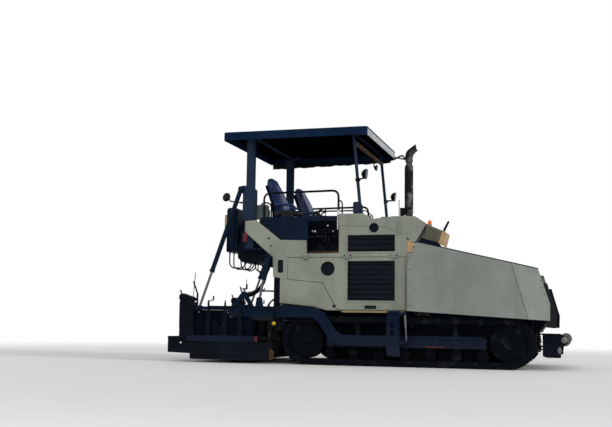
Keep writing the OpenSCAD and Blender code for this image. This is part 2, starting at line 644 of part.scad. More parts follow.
module lamps() color(dark) {
  for (l = [[86, -1, 3029], [104, 1, 2966]]) {
    lamp_head([l.x, l.y * (post_y + 66), l.z], 84);
    bar([-4, l.y * (post_y + 26 + run), l.z - 76], [l.x - 20, l.y * (post_y + 66), l.z - 70], 13, 16);
    bar([l.x - 20, l.y * (post_y + 66), l.z - 76], [l.x - 20, l.y * (post_y + 66), l.z], 11, 16);
    box(-70, 10, l.y > 0 ? post_y + 26 + run : -post_y - 42 - run,
        l.y > 0 ? post_y + 42 + run : -post_y - 26 - run,
      l.z - 112, l.z - 60);
  }
  both() slab_xz(rounded([[-1975, 1949], [-1920.3, 1949], [-1920.3, 2118], [-1975, 2118]], 16, 3),
    body_half - wall_t + run, body_half);
  lamp_head([-40, 300, 3369], 52);
  bar([-70, 300, 3372], [-94, 300, 3535.7], 11, 16);
  translate([-2271, -post_y - 5, 2717]) rotate([82, 0, -14]) rotate_extrude($fn = 32)
    polygon([[0, -14], [40, -12], [68, 2], [74, 12], [74, 24], [68, 24], [66, 18], [0, 18]]);
  bar([-2271, -post_y - 5, 2717], [-2210, -post_y + 20, 2650], 11, 16);
  bar([-2214, -post_y + 20, 2652], [-1972.2, -post_y + 20, 2620], 11, 16);
}

module beacon() color("orange") translate([1112, -1040, 2212 + run]) rotate_extrude($fn = 32)
  polygon([[0, 0], [34, 0], [34, 14], [30, 18], [30, 48], [24, 60], [12, 66], [0, 67]]);

// Rear frame: corner posts, cross beams and the brackets of the lift cylinders
lift_top = [-1493, 1721];
lift_low = [-1628, 1017];
strut_top = [-1985, 2837];
strut_low = [-2672, 880];
module rear_frame() color(dark) {
  both() {
    box(-1415, -1300 - run, body_half - wall_t - 110, body_half - wall_t, 600, 1739);
    slab_xz(rounded([[-1415, 600], [frame_x0 - run, 600], [frame_x0 - run, 690], [-1415, 712]], 16, 2),
      frame_half, body_half - wall_t);
    box(-1560, -1415, 1040, 1100, 1690, 1830);
    slab_xz([[-1415, 1500], [-1404, 1500], [-1404, 1690], [-1600, 1690], [-1600, 1680]], 1040, 1060);
    difference() {
      slab_xz(rounded([[lift_top.x - 42, lift_top.y - 52], [lift_top.x + 42, lift_top.y - 52],
        [lift_top.x + 66, 1760], [lift_top.x + 66, 1830], [lift_top.x - 66, 1830],
            [lift_top.x - 66, 1760]], 18, 3),
        1050, body_half - wall_t - run);
      ycyl(lift_top.x, lift_top.y, 1000, 1300, 10);
    }
    ycyl(lift_top.x, lift_top.y, 1060, lift_y + 44, 20);
    ycyl(lift_top.x, lift_top.y, body_half - wall_t - run - 1, lift_y - 42, 31);
  }
  box(-1930, -1300 - run, -1040, 1040, 1790, 1831);
}

module rear_tank() color(dark) {
  slab_xz(rounded([[-2092, 1716], [-2010, 1640], [-1430, 1640], [-1430, 1789.7], [-1950.3, 1789.7],
    [-1950.3, 1962], [-2060, 1962], [-2092, 1930]], 18, 3), -1000, 1000);
  for (y = [-720, 0, 720]) difference() {
    slab_xz(rounded([[-2100, 1712], [-2014, 1632], [-1430, 1632], [-1430, 1789.7], [-1950.3, 1789.7],
      [-1950.3, 1970], [-2064, 1970], [-2100, 1934]], 18, 3), y - 24, y + 24);
    slab_xz([[-1990, 1680], [-1400, 1680], [-1400, 1800], [-1990, 1800]], y - 30, y + 30);
  }
  for (y = [-420, 420]) {
    zcyl(-2022, y, 1958, 1986, 44, 28);
    zcyl(-2022, y, 1986, 2004, 52, 12);
  }
}

module rear_cabinet() color(navy) {
  difference() {
    slab_xz(rounded([[-2294, 1812], [-2100.3, 1812], [-2100.3, 2512], [-2140, 2552], [-2270, 2552],
        [-2294, 2520]],
      16, 3), -1010, -560);
    box(-2276, -2160, -1011, -1004, 1850, 2440);
    box(-2150, -2120, -1011, -992, 1840, 2500);
    box(-2295, -2288, -960, -610, 1860, 2130);
  }
  box(-2264, -2250, -1016, -1003, 2100, 2200);
  box(-2101, -1950.3, -900, -640, 1975.3, 2200);
  for (y = [-930, -700]) zcyl(-2040, y + 60, 2199, 2330, 26, 24);
  slab_xz(rounded([[-2336, 2149], [-2293, 2149], [-2293, 2435], [-2336, 2435]], 8, 2), -1000, -760);
}

// Hopper: back wall, sloping side floors and the hinge brackets of the wings
knuckle_x = [860, 1640 + nose / 2, 2420 + nose];
knuckle_len = 200;
knuckle_r = 32;
upstand_z = 864;
module hopper() color(navy) {
  both() {
    slab_yz([[500, hopper_base_z + run], [640, hopper_base_z + run], [640, upstand_z],
      [612, upstand_z], [612, 760], [500, 690]], body_x1 + 10, frame_x1 - 61);
    for (x = knuckle_x, s = [0, 1]) translate([x + (s ? knuckle_len + run : -26), 0, 0])
      slab_yz([[600, hopper_base_z + run], [wing_pivot_y + 20, hopper_base_z + run],
        [wing_pivot_y + 20, wing_pivot_z], [wing_pivot_y + 14, wing_pivot_z + 18],
        [wing_pivot_y - 14, wing_pivot_z + 22], [600, wing_pivot_z - 40]], 0, 26 - run);
    xcyl(wing_pivot_y, wing_pivot_z, knuckle_x[0] - 26, knuckle_x[2] + knuckle_len + 26, wing_pin_r, 24);
  }
  slab_yz([[-1100, 900], [-690, 870], [-500, conveyor_z + 80], [500, conveyor_z + 80], [690, 870],
    [1100, 900], [1100, 1760], [-1100, 1760]], body_x1 + 0.3, body_x1 + 14);
  // Bracket that carries the intake's snout
  slab_xz([[body_x1 + 0.3, 1640], [900, 1800], [1290, 1840], [snout_low.x + 48, snout_low.y - 60],
    [snout_low.x, snout_low.y - run], [985, 2000 - run], [900, 1900], [body_x1 + 0.3, 1756]],
    pod_y0 + 48, pod_y0 + 78);
}

belt_x = frame_x0 + 80;
belt_len = frame_x1 - belt_x - 120;
belt_r = 100;
belt_z = conveyor_z - belt_r;
module conveyors() color(dark) {
  for (y = [-250, 250]) {
    band(belt_x, belt_z, belt_len, belt_r, 22, 50, 26, 0.28, y - 200, y + 200);
    for (x = [belt_x, belt_x + belt_len]) ycyl(x, belt_z, y - 190, y + 190, belt_r - 50 - run);
  }
  for (x = [belt_x, belt_x + belt_len]) ycyl(x, belt_z, -tunnel_half + run, tunnel_half - run, 25);
}

module auger_carrier() color(dark) {
  slab_xz(rounded([[auger_x - 112, 330], [auger_x - 80, 205], [auger_x + 80, 205], [auger_x + 112, 330],
    [auger_x + 96, 640], [frame_x0 - 20, conveyor_z + 20], [frame_x0 - 20, 805], [auger_x - 60, 805],
    [auger_x - 100, 740]], 40, 4), -case_half, case_half);
  for (s = [-1, 1]) ycyl(auger_x, auger_z, min(s * 60, s * case_half), max(s * 60, s * case_half), 70, 32);
  box(frame_x0 - 45, frame_x0 - run, -620, 620, conveyor_z + 20, 825);
}

module flight(y0, y1, hand) {
  turns = (y1 - y0) / auger_pitch;
  steps = ceil(turns * 20);
  half = 7;
  r0 = 40;
  points = [for (i = [0:steps]) let (a = hand * 360 * turns * i / steps, y = y0 + (y1 - y0) * i / steps)
    for (c = [[r0, -half], [auger_r, -half], [auger_r, half], [r0, half]])
      [c[0] * cos(a), y + c[1], c[0] * sin(a)]];
  quads = [for (i = [0:steps - 1], j = [0:3])
    [i * 4 + j, i * 4 + (j + 1) % 4, (i + 1) * 4 + (j + 1) % 4, (i + 1) * 4 + j]];
  ends = [[3, 2, 1, 0], [for (j = [0:3]) steps * 4 + j]];
  faces = concat([for (q = quads) [q[0], q[1], q[2]]], [for (q = quads) [q[0], q[2], q[3]]], ends);
  polyhedron(points, hand > 0 ? [for (f = faces) [for (k = [len(f) - 1:-1:0]) f[k]]] : faces, convexity = 8);
}

auger_end = 1185;
module auger(side) color(steel) mirror([0, side < 0 ? 1 : 0, 0]) translate([auger_x, 0, auger_z]) {
  rotate([-90, 0, 0]) translate([0, 0, case_half + run]) cylinder(r = 45,
      h = auger_end - case_half - run, $fn = 24);
  flight(case_half + 20, auger_end - 20, 1);
}

// Tow points: a channel on each side that the front end of the arm pins into
module tow_guides() color(navy) both() {
  // Channel: inner and outer cheeks, front web and the head that ties it to the frame
  slab_xz(rounded([[tow_x - 95, 176], [tow_x + 105, 160], [tow_x + 105, skirt_z - 2],
      [tow_x - 95, skirt_z - 2]],
    14, 2), arm_in - 30, arm_in - 5);
  difference() {
    slab_xz(rounded([[tow_x - 91, 176], [tow_x + 102, 160], [tow_x + 102, 784], [tow_x - 91, 784]], 20, 3),
      arm_out + 5, arm_out + 25);
    for (z = [tow_z + 90, tow_z + 220]) slab_xz(rounded([[tow_x - 30, z], [tow_x + 30, z],
        [tow_x + 30, z + 80],
      [tow_x - 30, z + 80]], 24, 4), arm_out + 4, arm_out + 26);
  }
  box(tow_x + 80, tow_x + 105, arm_in - 5, arm_out + 6, 160, 784);
  box(tow_x - 91, tow_x + 105, arm_in - 6, arm_out + 24, 744, 784);
  box(tow_x - 95, tow_x + 105, frame_half, arm_in - 5, skirt_z - 2 - 60, skirt_z - 2);
  ycyl(tow_x, tow_z, arm_in - 30, arm_out + 36, tow_pin_r);
  ycyl(tow_x, tow_z, arm_out + 24, arm_out + 34, tow_pin_r + 16, 6);
  // Brackets of the levelling rod
  slab_xz(rounded([[tow_x + 100, 745], [tow_x + 150, 800], [tow_x + 218, 800], [tow_x + 218, 842],
    [tow_x + 100, 842]], 12, 2),
    arm_y - 26, arm_out + 10);
  slab_xz(rounded([[tow_x + 100, 350], [tow_x + 240, 372], [tow_x + 240, 408], [tow_x + 100, 408]], 12, 2),
    arm_y - 26, arm_out + 10);
}

module levelling_rods() color(steel) both() {
  bar([tow_x + 190, arm_y + 4, 799], [tow_x + 213, arm_y + 4, 409.2], 14, 20);
  bar([tow_x + 201, arm_y + 4, 612], [tow_x + 190, arm_y + 4, 795], 22, 24);
}

arm_outline = [[-2150, 905], [-2150, 742], [-725, 741], [-629, 669], [-439, 388], [-267, 315],
  [tow_x - 60, 315], [tow_x - 20, 330], [tow_x + 62, tow_z - 30], [tow_x + 62, tow_z + 30],
      [tow_x - 20, 472],
  [-238, 478], [-348, 540], [-536, 819], [-711, 908], [-1235, 935], [-1460, 905]];
ear_t = 10;
eye_pin_r = 12;
eye_slack = 8;
module tow_arms() color(navy) both() {
  difference() {
    slab_xz(arm_outline, arm_in, arm_out);
    ycyl(tow_x, tow_z, arm_in - 1, arm_out + 1, tow_pin_r + pin_gap);
    slab_xz(rounded([[-1950, 790], [-1260, 790], [-1260, 872], [-1950, 860]], 30, 3),
        arm_out - 10, arm_out + 1);
  }
  box(-2620, -2150, arm_in, arm_out, 850, 905);
  for (y = [arm_in, arm_out - ear_t]) {
    slab_xz(rounded([[strut_low.x - 48, 842], [-2620, 842], [-2620, 918], [strut_low.x - 48, 918]],
        18, 3), y, y + ear_t);
    slab_xz(rounded([[lift_low.x - 60, 900], [lift_low.x + 60, 900], [lift_low.x + 34, lift_low.y + 42],
      [lift_low.x - 34, lift_low.y + 42]], 18, 3), y, y + ear_t);
  }
  for (p = [strut_low, lift_low]) ycyl(p.x, p.y, arm_in, arm_out, eye_pin_r);
  // Thickness crank on its triangular bracket
  difference() {
    slab_xz(rounded([[-2094, 900], [-1733, 900], [-1733, 926], [-1868, 1151], [-1916, 1151],
        [-2094, 926]], 16, 2),
      arm_in + 6, arm_out - 12);
    slab_xz(rounded([[-1984, 940], [-1812, 940], [-1892, 1068]], 20, 3), arm_in, arm_out);
  }
  bar([-1892, arm_y, 1140], [-1892, arm_y, 1206], 13, 20);
  bar([-1930, arm_y, 1196], [-1838, arm_y, 1196], 9, 16);
  bar([-1844, arm_y, 1190], [-1844, arm_y, 1272], 11, 16);
}

screed_top = 425;
screed_x0 = -2130;
module screed_frame() color(navy) {
  difference() {
    slab_xz([[screed_x0, screed_gap], [screed_x1 - 26, screed_gap], [screed_x1, screed_gap + 26],
      [screed_x1, screed_top - 60], [screed_x1 - 36, screed_top], [screed_x0, screed_top]],
      -gate_out + gate_t + 8, gate_out - gate_t - 8);
    slab_xz([[screed_x1 - 12, screed_gap + 70], [screed_x1 + 1, screed_gap + 70],
        [screed_x1 + 1, screed_gap + 90],
      [screed_x1 - 12, screed_gap + 90]], -gate_out, gate_out);
  }
  slab_xz([[screed_x0 + 30, screed_top - 1], [screed_x1 - 60, screed_top - 1], [screed_x1 - 60, 690],
    [screed_x1 - 130, 770], [screed_x0 + 90, 780], [screed_x0 + 30, 730]], -arm_in + run, arm_in - run);
  for (k = [-2:2]) let (y = k * 430)
    box(screed_x0 + 110, screed_x1 - 150, y - 195, y + 195, 765, 790);
  for (k = [-2:2]) box(screed_x1 - 66, screed_x1 - 48, k * 430 - 12, k * 430 + 12, screed_top - 1, 680);
  for (s = [-1, 1], g = [[0.82, 150], [0.25, 150]]) let (y = s * g[0] * 1240, z = s < 0 ? 520 : 695)
    difference() {
      slab_xz(rounded([[-2334, z - 82], [screed_x0 + 30, z - 82], [screed_x0 + 30, z + 82],
          [-2334, z + 82]], 40, 3),
        min(y, y - s * g[1]), max(y, y - s * g[1]));
      ycyl(-2250, z, -1300, 1300, guide_r + run);
    }
}

module extension(side) color(navy) mirror([0, side > 0 ? 1 : 0, 0]) {
  z = side < 0 ? 520 : 695;
  y1 = gate_out - gate_t - run;
  x1 = screed_x0 - ext_gap;
  slab_xz([[ext_x0, screed_gap + 20], [ext_x0 + 20, screed_gap], [x1, screed_gap], [x1, 330],
      [ext_x0 + 60, 330],
    [ext_x0, 300]], -y1, -15);
  for (k = [0:2]) box(ext_x0 + 120, x1 - 90, -y1 + 60 + k * 400, -y1 + 380 + k * 400, 329, 352);
  ycyl(-2250, z, -y1, 1080, guide_r);
  slab_xz(rounded([[-2330, 329], [-2170, 329], [-2186, z + 64], [-2314, z + 64]], 24, 3), -y1, -y1 + 18);
  // Walkway of slotted tread on three brackets
  difference() {
    box(walk_x0, ext_x0 - 20, -y1, -20, 385, 413);
    for (i = [0:13], j = [0:2])
      box(walk_x0 + 36 + j * 118, walk_x0 + 128 + j * 118, -y1 + 50 + i * 83, -y1 + 96 + i * 83, 384, 414);
    box(walk_x0 + 8, ext_x0 - 28, -y1 + 8, -28, 384, 404);
  }
  slab_xz(rounded([[walk_x0 + 8, 386], [walk_x0 + 8, 152], [ext_x0 + 4, 140], [ext_x0 + 4, 386]], 14, 2),
    -y1, -y1 + 12);
  for (y = [-640, -32])
    slab_xz([[walk_x0 + 20, 386], [walk_x0 + 70, 250], [ext_x0, 140], [ext_x0 + 1, 140], [ext_x0 + 1, 386]],
      y, y + 12);
  // Side frame under the tow arm: a web with a flange, ribs and the drive's box
  slab_xz(rounded([[-2704, 329], [x1 - 14, 329], [x1 - 14, 716], [-2200, 826], [-2680, 826],
      [-2704, 800]], 24, 3),
    -1144, -1132);
  for (x = [-2690, -2560, -2426, -2300]) box(x, x + 65, -1160, -1143, 329, x < -2600 ? 790 : 826);
  slab_xz(rounded([[-2500, 400], [-2330, 400], [-2330, 640], [-2440, 700], [-2500, 640]], 24, 3),
      -1210, -1159);
  box(-2704, -2640, -1133, -60, 299, 452);
}

module end_gate(side) color(dark) mirror([0, side > 0 ? 1 : 0, 0]) {
  y0 = -gate_out;
  y1 = -gate_out + gate_t;
  difference() {
    slab_xz(rounded([[ext_x0, screed_gap - 5], [-1440, screed_gap - 5], [-1362, 120], [-1362, 335],
        [ext_x0, 335]],
      40, 4), y0, y1);
    for (i = [-0.5, 0.5], j = [-0.5, 0.5])
      ycyl(-1560 + i * gate_holes[0], 200 + j * gate_holes[1], y0 - 1, y1 + 1, gate_hole_r);
    box(-2700, -1700, y0 - 1, y0 + 5, 96, 110);
  }
  slab_xz(rounded([[-2860, 335], [-1618, 329], [-1618, 442], [-2860, 442]], 10, 2), y0 - 8, y1);
  // Posts, rail and spindle handles
  for (c = [[-2482, 1000], [-2191, 970], [-1930, 905]]) {
    slab_xz([[c.x - 34, 441], [c.x + 34, 441], [c.x + 32, 800], [c.x + 16, 830], [c.x + 14, c.y],
      [c.x - 14, c.y], [c.x - 16, 830], [c.x - 32, 800]], y0, y1 - 6);
  }
  tube(soften([[-2482, y0 + 12, 905], [-1395, y0 + 12, 905], [-1369, y0 + 12, 873],
      [-1354, y0 + 12, 650]], 24, 3),
    22, n = 10);
  ycyl(-1354, 643, y0 - 4, y0 + 30, 24, 24);
  bar([-2490, y0 + 8, 992], [-2390, y0 + 8, 1012], 8, 16);
  bar([-2396, y0 + 8, 1004], [-2396, y0 + 8, 1078], 12, 16);
  bar([-2191, y0 + 10, 960], [-2191, y0 + 10, 1004], 10, 16);
  // Stand with the operator's box, lever, pole and whip
  slab_xz(rounded([[-2990, 520], [-2750, 500], [-2748, 960], [-2800, 990], [-2995, 990]], 30, 3),
      y0, y0 + 170);
  box(-2900, -2735, y0, y0 + 40, 413 + run, 520);
  slab_xz(rounded([[-3010, 1010], [-2790, 985], [-2750, 1000], [-2760, 1050], [-2960, 1120],
      [-3010, 1090]], 20, 3),
    y0 + 16, y0 + 150);
  bar([-2985, y0 + 84, 1080], [-3018, y0 + 84, 1172], 12, 16);
  bar([-2748, y0 + 168, 905], [-2748, y0 + 168, 1126], 16, 20);
  bar([-2748, y0 + 168, 1118], [-2825, y0 + 168, 1318], 13, 20);
  bar([-2774, y0 + 40, 975], [-2739, y0 + 40, 1461], 6, 12);
}

// Cylinders: each turns about its upper eye, and its rod's eye stays on the arm
function along(a, b, d) = a + unit(b - a) * d;
module barrel(top, low, r, long) difference() {
  p = [top.x, lift_y, top.y];
  q = [low.x, lift_y, low.y];
  union() {
    bar(along(p, q, 24), along(p, q, long), r);
    bar(along(p, q, long - 40), along(p, q, long), r + 7);
    ycyl(top.x, top.y, lift_y - 30, lift_y + 30, 42);
  }
  ycyl(top.x, top.y, lift_y - 60, lift_y + 60, 20 + pin_gap);
  bar(along(p, q, 60), along(p, q, long + 10), r * 0.55 + 0.4);
}
module ram(top, low, r, inside) difference() {
  p = [top.x, lift_y, top.y];
  q = [low.x, lift_y, low.y];
  union() {
    bar(along(p, q, inside), along(q, p, 25), r * 0.55);
    ycyl(low.x, low.y, lift_y - 20, lift_y + 20, 34);
  }
  ycyl(low.x, low.y, lift_y - 60, lift_y + 60, eye_pin_r + eye_slack);
}

module lift_barrels() color(navy) both() barrel(lift_top, lift_low, lift_r, 390);
module lift_rods() color(steel) both() ram(lift_top, lift_low, lift_r, 345);
module strut_barrels() color(navy) both() barrel(strut_top, strut_low, lift_r, 1450);
module strut_rods() color(steel) both() ram(strut_top, strut_low, lift_r, 1400);

// Right wing; the left one is its mirror image. The plate bends inwards ahead of the crease
crease = [[2370 + nose, 1596], [2601 + nose, 754]];
front_bend = 0.22;
function wing_y(p) = let (d = unit(crease[1] - crease[0]), v = p - crease[0])
  -wing_out + front_bend * max(0, v.x * -d.y + v.y * d.x);
module bent_panel(points, t) {
  n = len(points);
  polyhedron(concat([for (p = points) [p.x, wing_y(p), p.y]], [for (p = points) [p.x, wing_y(p) + t, p.y]]),
    concat([[for (i = [n - 1:-1:0]) i]], [[for (i = [0:n - 1]) n + i]],
      [for (i = [0:n - 1]) [i, (i + 1) % n, n + (i + 1) % n, n + i]]));
}

wing_slope = atan2(330, wing_out - wing_t - wing_pivot_y);
wing_deck = norm([330, wing_out - wing_t - wing_pivot_y]);
module wing() difference() {
  union() {
    slab_xz([[wing_x0, 863], [crease[1].x, crease[1].y], [crease[0].x, crease[0].y],
      [934, wing_top_z], [wing_x0, 1566]], -wing_out, -wing_out + wing_t);
    bent_panel([crease[1], [wing_x1, 738], [2915 + nose, 981], [2750 + nose, 1509], crease[0]], wing_t);
    // Folded edge along the top
    slab_xz([[930, wing_top_z - 4], [934, wing_top_z], [crease[0].x, crease[0].y],
        [crease[0].x - 4, crease[0].y - 14],
      [930, wing_top_z - 18]], -wing_out, -wing_out + 46);
    bent_panel([[crease[0].x - 4, crease[0].y - 14], crease[0], [2750 + nose, 1509],
        [2752 + nose, 1494]], 46);
    translate([0, -wing_pivot_y, wing_pivot_z]) rotate([-wing_slope, 0, 0])
      linear_extrude(height = 16) polygon([[wing_x0 + 20, -25], [wing_x0 + 20, -wing_deck - 4],
        [2470 + nose, -wing_deck - 4], [2600 + nose, -wing_deck + 10], [2800 + nose, -wing_deck + 90],
        [2800 + nose, -25]]);
    slab_yz([[-740, 858], [-wing_out + 5, 1166], [-wing_out + 5, 1560], [-900, 1440]],
        wing_x0 + 20, wing_x0 + 34);
    for (x = knuckle_x) xcyl(-wing_pivot_y, wing_pivot_z, x, x + knuckle_len, knuckle_r, 24);
  }
  xcyl(-wing_pivot_y, wing_pivot_z, wing_x0, 2800 + nose, wing_pin_r + pin_gap, 24);
}
module wing_right() color(cream) wing();
module wing_left() color(cream) mirror([0, 1, 0]) wing();

module wing_flap() translate([0, wing_t + run, 0])
  bent_panel([for (p = [[2852, 640], [2996, 628], [3006, 834], [2876, 1297], [2815, 1290]]) [p.x + nose,
      p.y]], 16);
module wing_flap_right() color(dark) wing_flap();
module wing_flap_left() color(dark) mirror([0, 1, 0]) wing_flap();

module front_apron() color(dark) {
  both() box(frame_x1 - 43, frame_x1 + 60, 500, 640, hopper_base_z + run, 640);
  both() slab_xz([for (p = [[-43, 620], [72, 620], [186, 780], [176, 800],
      [-43, upstand_z]]) [frame_x1 + p.x, p.y]],
    612, 640);
  box(frame_x1 + 1, frame_x1 + 60, -501, 501, hopper_base_z + run, 640);
  slab_xz([for (p = [[50, 600], [70, 600], [190, 780], [172, 790]]) [frame_x1 + p.x, p.y]], -640, 640);
}

// Push rollers on a beam that swivels about a vertical pin
module push_beam() color(navy) {
  difference() {
    translate([0, 0, beam_z[0]]) linear_extrude(height = beam_z[1] - beam_z[0])
      polygon([[beam_x[0], -push_half], [beam_x[1], -push_half], [beam_x[1], push_half],
          [beam_x[0], push_half]]);
    zcyl(pivot_x, 0, 300, 600, pivot_r + pin_gap);
    both() for (k = [0:2]) box(beam_x[1] - 12, beam_x[1] + 1, 190 + k * 240, 380 + k * 240,
        beam_z[0] + 34, beam_z[1] - 34);
  }
  both() difference() {
    for (y = [130, push_half - 20])
      slab_xz(rounded([[beam_x[1] - 1, push_z - 90], [push_x + 46, push_z - 60], [push_x + 46, push_z + 50],
        [push_x - 20, push_z + 60], [beam_x[1] - 1, push_z + 60]], 26, 3), y, y + 20);
    ycyl(push_x, push_z, 100, push_half + 90, 26 + pin_gap);
  }
  both() slab_xz(rounded([[beam_x[0], 210], [beam_x[0] + 60, 190], [frame_x1 + 365, 190],
      [frame_x1 + 372, 480],
    [frame_x1 + 330, 535], [beam_x[0], 535]], 20, 3), push_half, push_half + 20);
}

module push_roller(side) color(steel) mirror([0, side < 0 ? 1 : 0, 0]) {
  ycyl(push_x, push_z, 155, push_half - 25, push_r, 40);
  ycyl(push_x, push_z, 128, push_half + 2, 26, 24);
}

chassis();
track_frames();
track(-1);  // track_right
track(1);  // track_left
track_wheels();
engine();
engine_housing();
top_grilles();
hood();
intake_box();
platform();
step_wells();
consoles();
seats();
handrails();
canopy();
canopy_posts();
exhaust();
lamps();
beacon();
rear_frame();
rear_tank();
rear_cabinet();
hopper();
conveyors();
auger_carrier();
tow_guides();
levelling_rods();
front_apron();
wing_right();
wing_left();
wing_flap_right();
wing_flap_left();
push_beam();
push_roller(-1);  // push_roller_right
push_roller(1);  // push_roller_left
screed_frame();
tow_arms();
extension(-1);  // extension_right
extension(1);  // extension_left
end_gate(-1);  // end_gate_right
end_gate(1);  // end_gate_left
auger(-1);  // auger_right
auger(1);  // auger_left
door(-1);  // door_right
door(1);  // door_left
door_grille(-1);  // door_grille_right
door_grille(1);  // door_grille_left
lift_barrels();
lift_rods();
strut_barrels();
strut_rods();
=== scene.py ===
# %% [markdown]
# # A tracked asphalt paver
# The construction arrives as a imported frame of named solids. This notebook gives it a camera, soft
# studio light, the finishes of a used machine and the pieces that solids can't show: padded seats,
# hanging hoses, lenses, bolts, catches and wear. Every length is in metres: X forward, Y left, Z up.

# %% Load the frame
import math
import bmesh
import bpy
import numpy as np
from mathutils import Matrix


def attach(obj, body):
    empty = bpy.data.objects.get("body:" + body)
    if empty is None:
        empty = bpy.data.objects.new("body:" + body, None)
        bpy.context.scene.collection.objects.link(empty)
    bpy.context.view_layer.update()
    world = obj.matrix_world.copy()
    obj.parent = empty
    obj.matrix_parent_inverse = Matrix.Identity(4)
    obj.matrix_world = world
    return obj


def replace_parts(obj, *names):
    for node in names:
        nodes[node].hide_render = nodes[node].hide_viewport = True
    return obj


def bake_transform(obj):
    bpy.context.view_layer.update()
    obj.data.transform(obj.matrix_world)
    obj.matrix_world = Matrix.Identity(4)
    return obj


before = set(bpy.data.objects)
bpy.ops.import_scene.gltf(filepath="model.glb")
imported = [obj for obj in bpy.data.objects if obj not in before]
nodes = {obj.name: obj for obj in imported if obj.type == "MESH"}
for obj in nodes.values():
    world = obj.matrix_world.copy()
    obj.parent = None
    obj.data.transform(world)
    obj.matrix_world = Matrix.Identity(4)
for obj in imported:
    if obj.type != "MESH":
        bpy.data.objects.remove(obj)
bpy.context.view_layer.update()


def linked(name, data, place=None):
    """An object round its data, linked to the scene, at a place given as a 4 by 4 array."""
    thing = bpy.data.objects.new(name, data)
    bpy.context.scene.collection.objects.link(thing)
    if place is not None:
        thing.matrix_world = Matrix(place.tolist())
    return thing


# %% [markdown]
# ## Camera
# The picture was taken from low down on the machine's right side, a little ahead of the middle.
# The place, heading, tilt and roll below came from matching long straight edges of the machine. A
# camera could also be aimed with a Track To constraint, but three angles keep the roll exact.

# %% Camera
HEADING, TILT, ROLL = (math.radians(a) for a in (16.45, 6.67, 0.79))
EYE = np.array([3.338, -15.428, 0.672])
FOCAL_PIXELS, IMAGE_WIDTH, SENSOR_MM = 928.0, 612.0, 36.0


def camera_place(heading, tilt, roll, eye):
    """Columns right, up and back: the level right and tilted forward axes, turned by the roll, then the eye."""
    right = np.array([math.cos(heading), math.sin(heading), 0.0])
    ahead = np.array([-math.sin(heading) * math.cos(tilt), math.cos(heading) * math.cos(tilt), math.sin(tilt)])
    up = np.cross(right, ahead)
    place = np.eye(4)
    place[:3, :3] = np.array([math.cos(roll) * right + math.sin(roll) * up,
                              math.cos(roll) * up - math.sin(roll) * right, -ahead]).T
    place[:3, 3] = eye
    return place


camera = linked("camera", bpy.data.cameras.new("camera"), camera_place(HEADING, TILT, ROLL, EYE))
camera.data.sensor_width, camera.data.clip_end = SENSOR_MM, 400.0
camera.data.lens = SENSOR_MM * FOCAL_PIXELS / IMAGE_WIDTH
bpy.context.scene.camera = camera
print("camera at", EYE.tolist(), "lens", round(camera.data.lens, 2), "mm")

# %% [markdown]
# ## Surfaces from arrays
# Every new piece is a surface worked out as whole arrays: a grid of points that is joined into quads.
# Blender's own primitives would be quicker to call, but a formula keeps each shape exact and easy to
# change. Three families are enough here: rings round an axis, rings carried along a path, and
# rounded blocks. Each is closed at its ends, so it has an inside and an outside.

# %% Rings, tubes, turned forms and blocks
OUT, UP = (0, -1, 0), (0, 0, 1)  # out of the machine's right side, and up
SHARP = math.radians(38)  # faces that meet at a wider angle show an edge


def skin(rings, loop=False):
    """Joins rings (m, n, 3) into quads: point j of ring i meets j + 1 and ring i + 1. Open ends get a face."""
    m, n = rings.shape[:2]
    i, j = (a.ravel() for a in np.meshgrid(np.arange(m if loop else m - 1), np.arange(n), indexing="ij"))
    quads = np.stack([i * n + j, i * n + (j + 1) % n, (i + 1) % m * n + (j + 1) % n, (i + 1) % m * n + j], 1)
    ends = [] if loop else [list(range(n))[::-1], list(range((m - 1) * n, m * n))]
    return rings.reshape(-1, 3), quads.tolist() + ends


def unit(v):
    """A vector, or rows of vectors, divided by its length."""
    v = np.asarray(v, float)
    return v / np.linalg.norm(v, axis=-1, keepdims=True)


def circle(first, second, count):
    """Unit circle of count points, cos a first + sin a second."""
    angle = np.arange(count)[:, None] * 2 * np.pi / count
    return np.cos(angle) * first + np.sin(angle) * second


def turned(profile, centre, axis=OUT, count=20, hoop=False):
    """Turned form: each profile point (radius, height) goes round the axis. A hoop's profile is closed in itself."""
    axis = unit(axis)
    side = unit(np.cross(axis, (0.0, 0.0, 1.0) if abs(axis[2]) < 0.9 else (0.0, 1.0, 0.0)))
    radius, height = np.array(profile, float).T[..., None, None]
    rings = radius * circle(side, np.cross(axis, side), count) + height * axis + np.asarray(centre, float)
    return skin(rings.swapaxes(0, 1), loop=True) if hoop else skin(rings)


def smooth_path(points, count):
    """Even points on a Catmull-Rom curve: from p1 to p2 a cubic with end slopes (p2 - p0)/2 and (p3 - p1)/2."""
    p = np.asarray(points, float)
    p = np.vstack([2 * p[0] - p[1], p, 2 * p[-1] - p[-2]])
    t = np.linspace(0, 1, 24, endpoint=False)[:, None]
    a, b, c, d = p[:-3, None], p[1:-2, None], p[2:-1, None], p[3:, None]
    fine = 0.5 * (2 * b + (c - a) * t + (2 * a - 5 * b + 4 * c - d) * t ** 2 + (3 * b - a - 3 * c + d) * t ** 3)
    fine = np.vstack([fine.reshape(-1, 3), p[-2]])
    length = np.concatenate([[0], np.cumsum(np.linalg.norm(np.diff(fine, axis=0), axis=1))])
    at = np.linspace(0, length[-1], count)
    return np.stack([np.interp(at, length, fine[:, k]) for k in range(3)], 1)


def carried(path, radius, side=(0, 1, 0), count=12):
    """Tube: at each path point a circle lies square to the path, its first radius being side x direction."""
    along = unit(np.gradient(path, axis=0))
    first = unit(np.cross(np.asarray(side, float), along))
    return skin(path[:, None] + radius * circle(first[:, None], np.cross(along, first)[:, None], count))


def tube(points, radius, count):
    """A tube of 12 sides along the smooth path of a few points, by count rings."""
    return carried(smooth_path(points, count), radius)


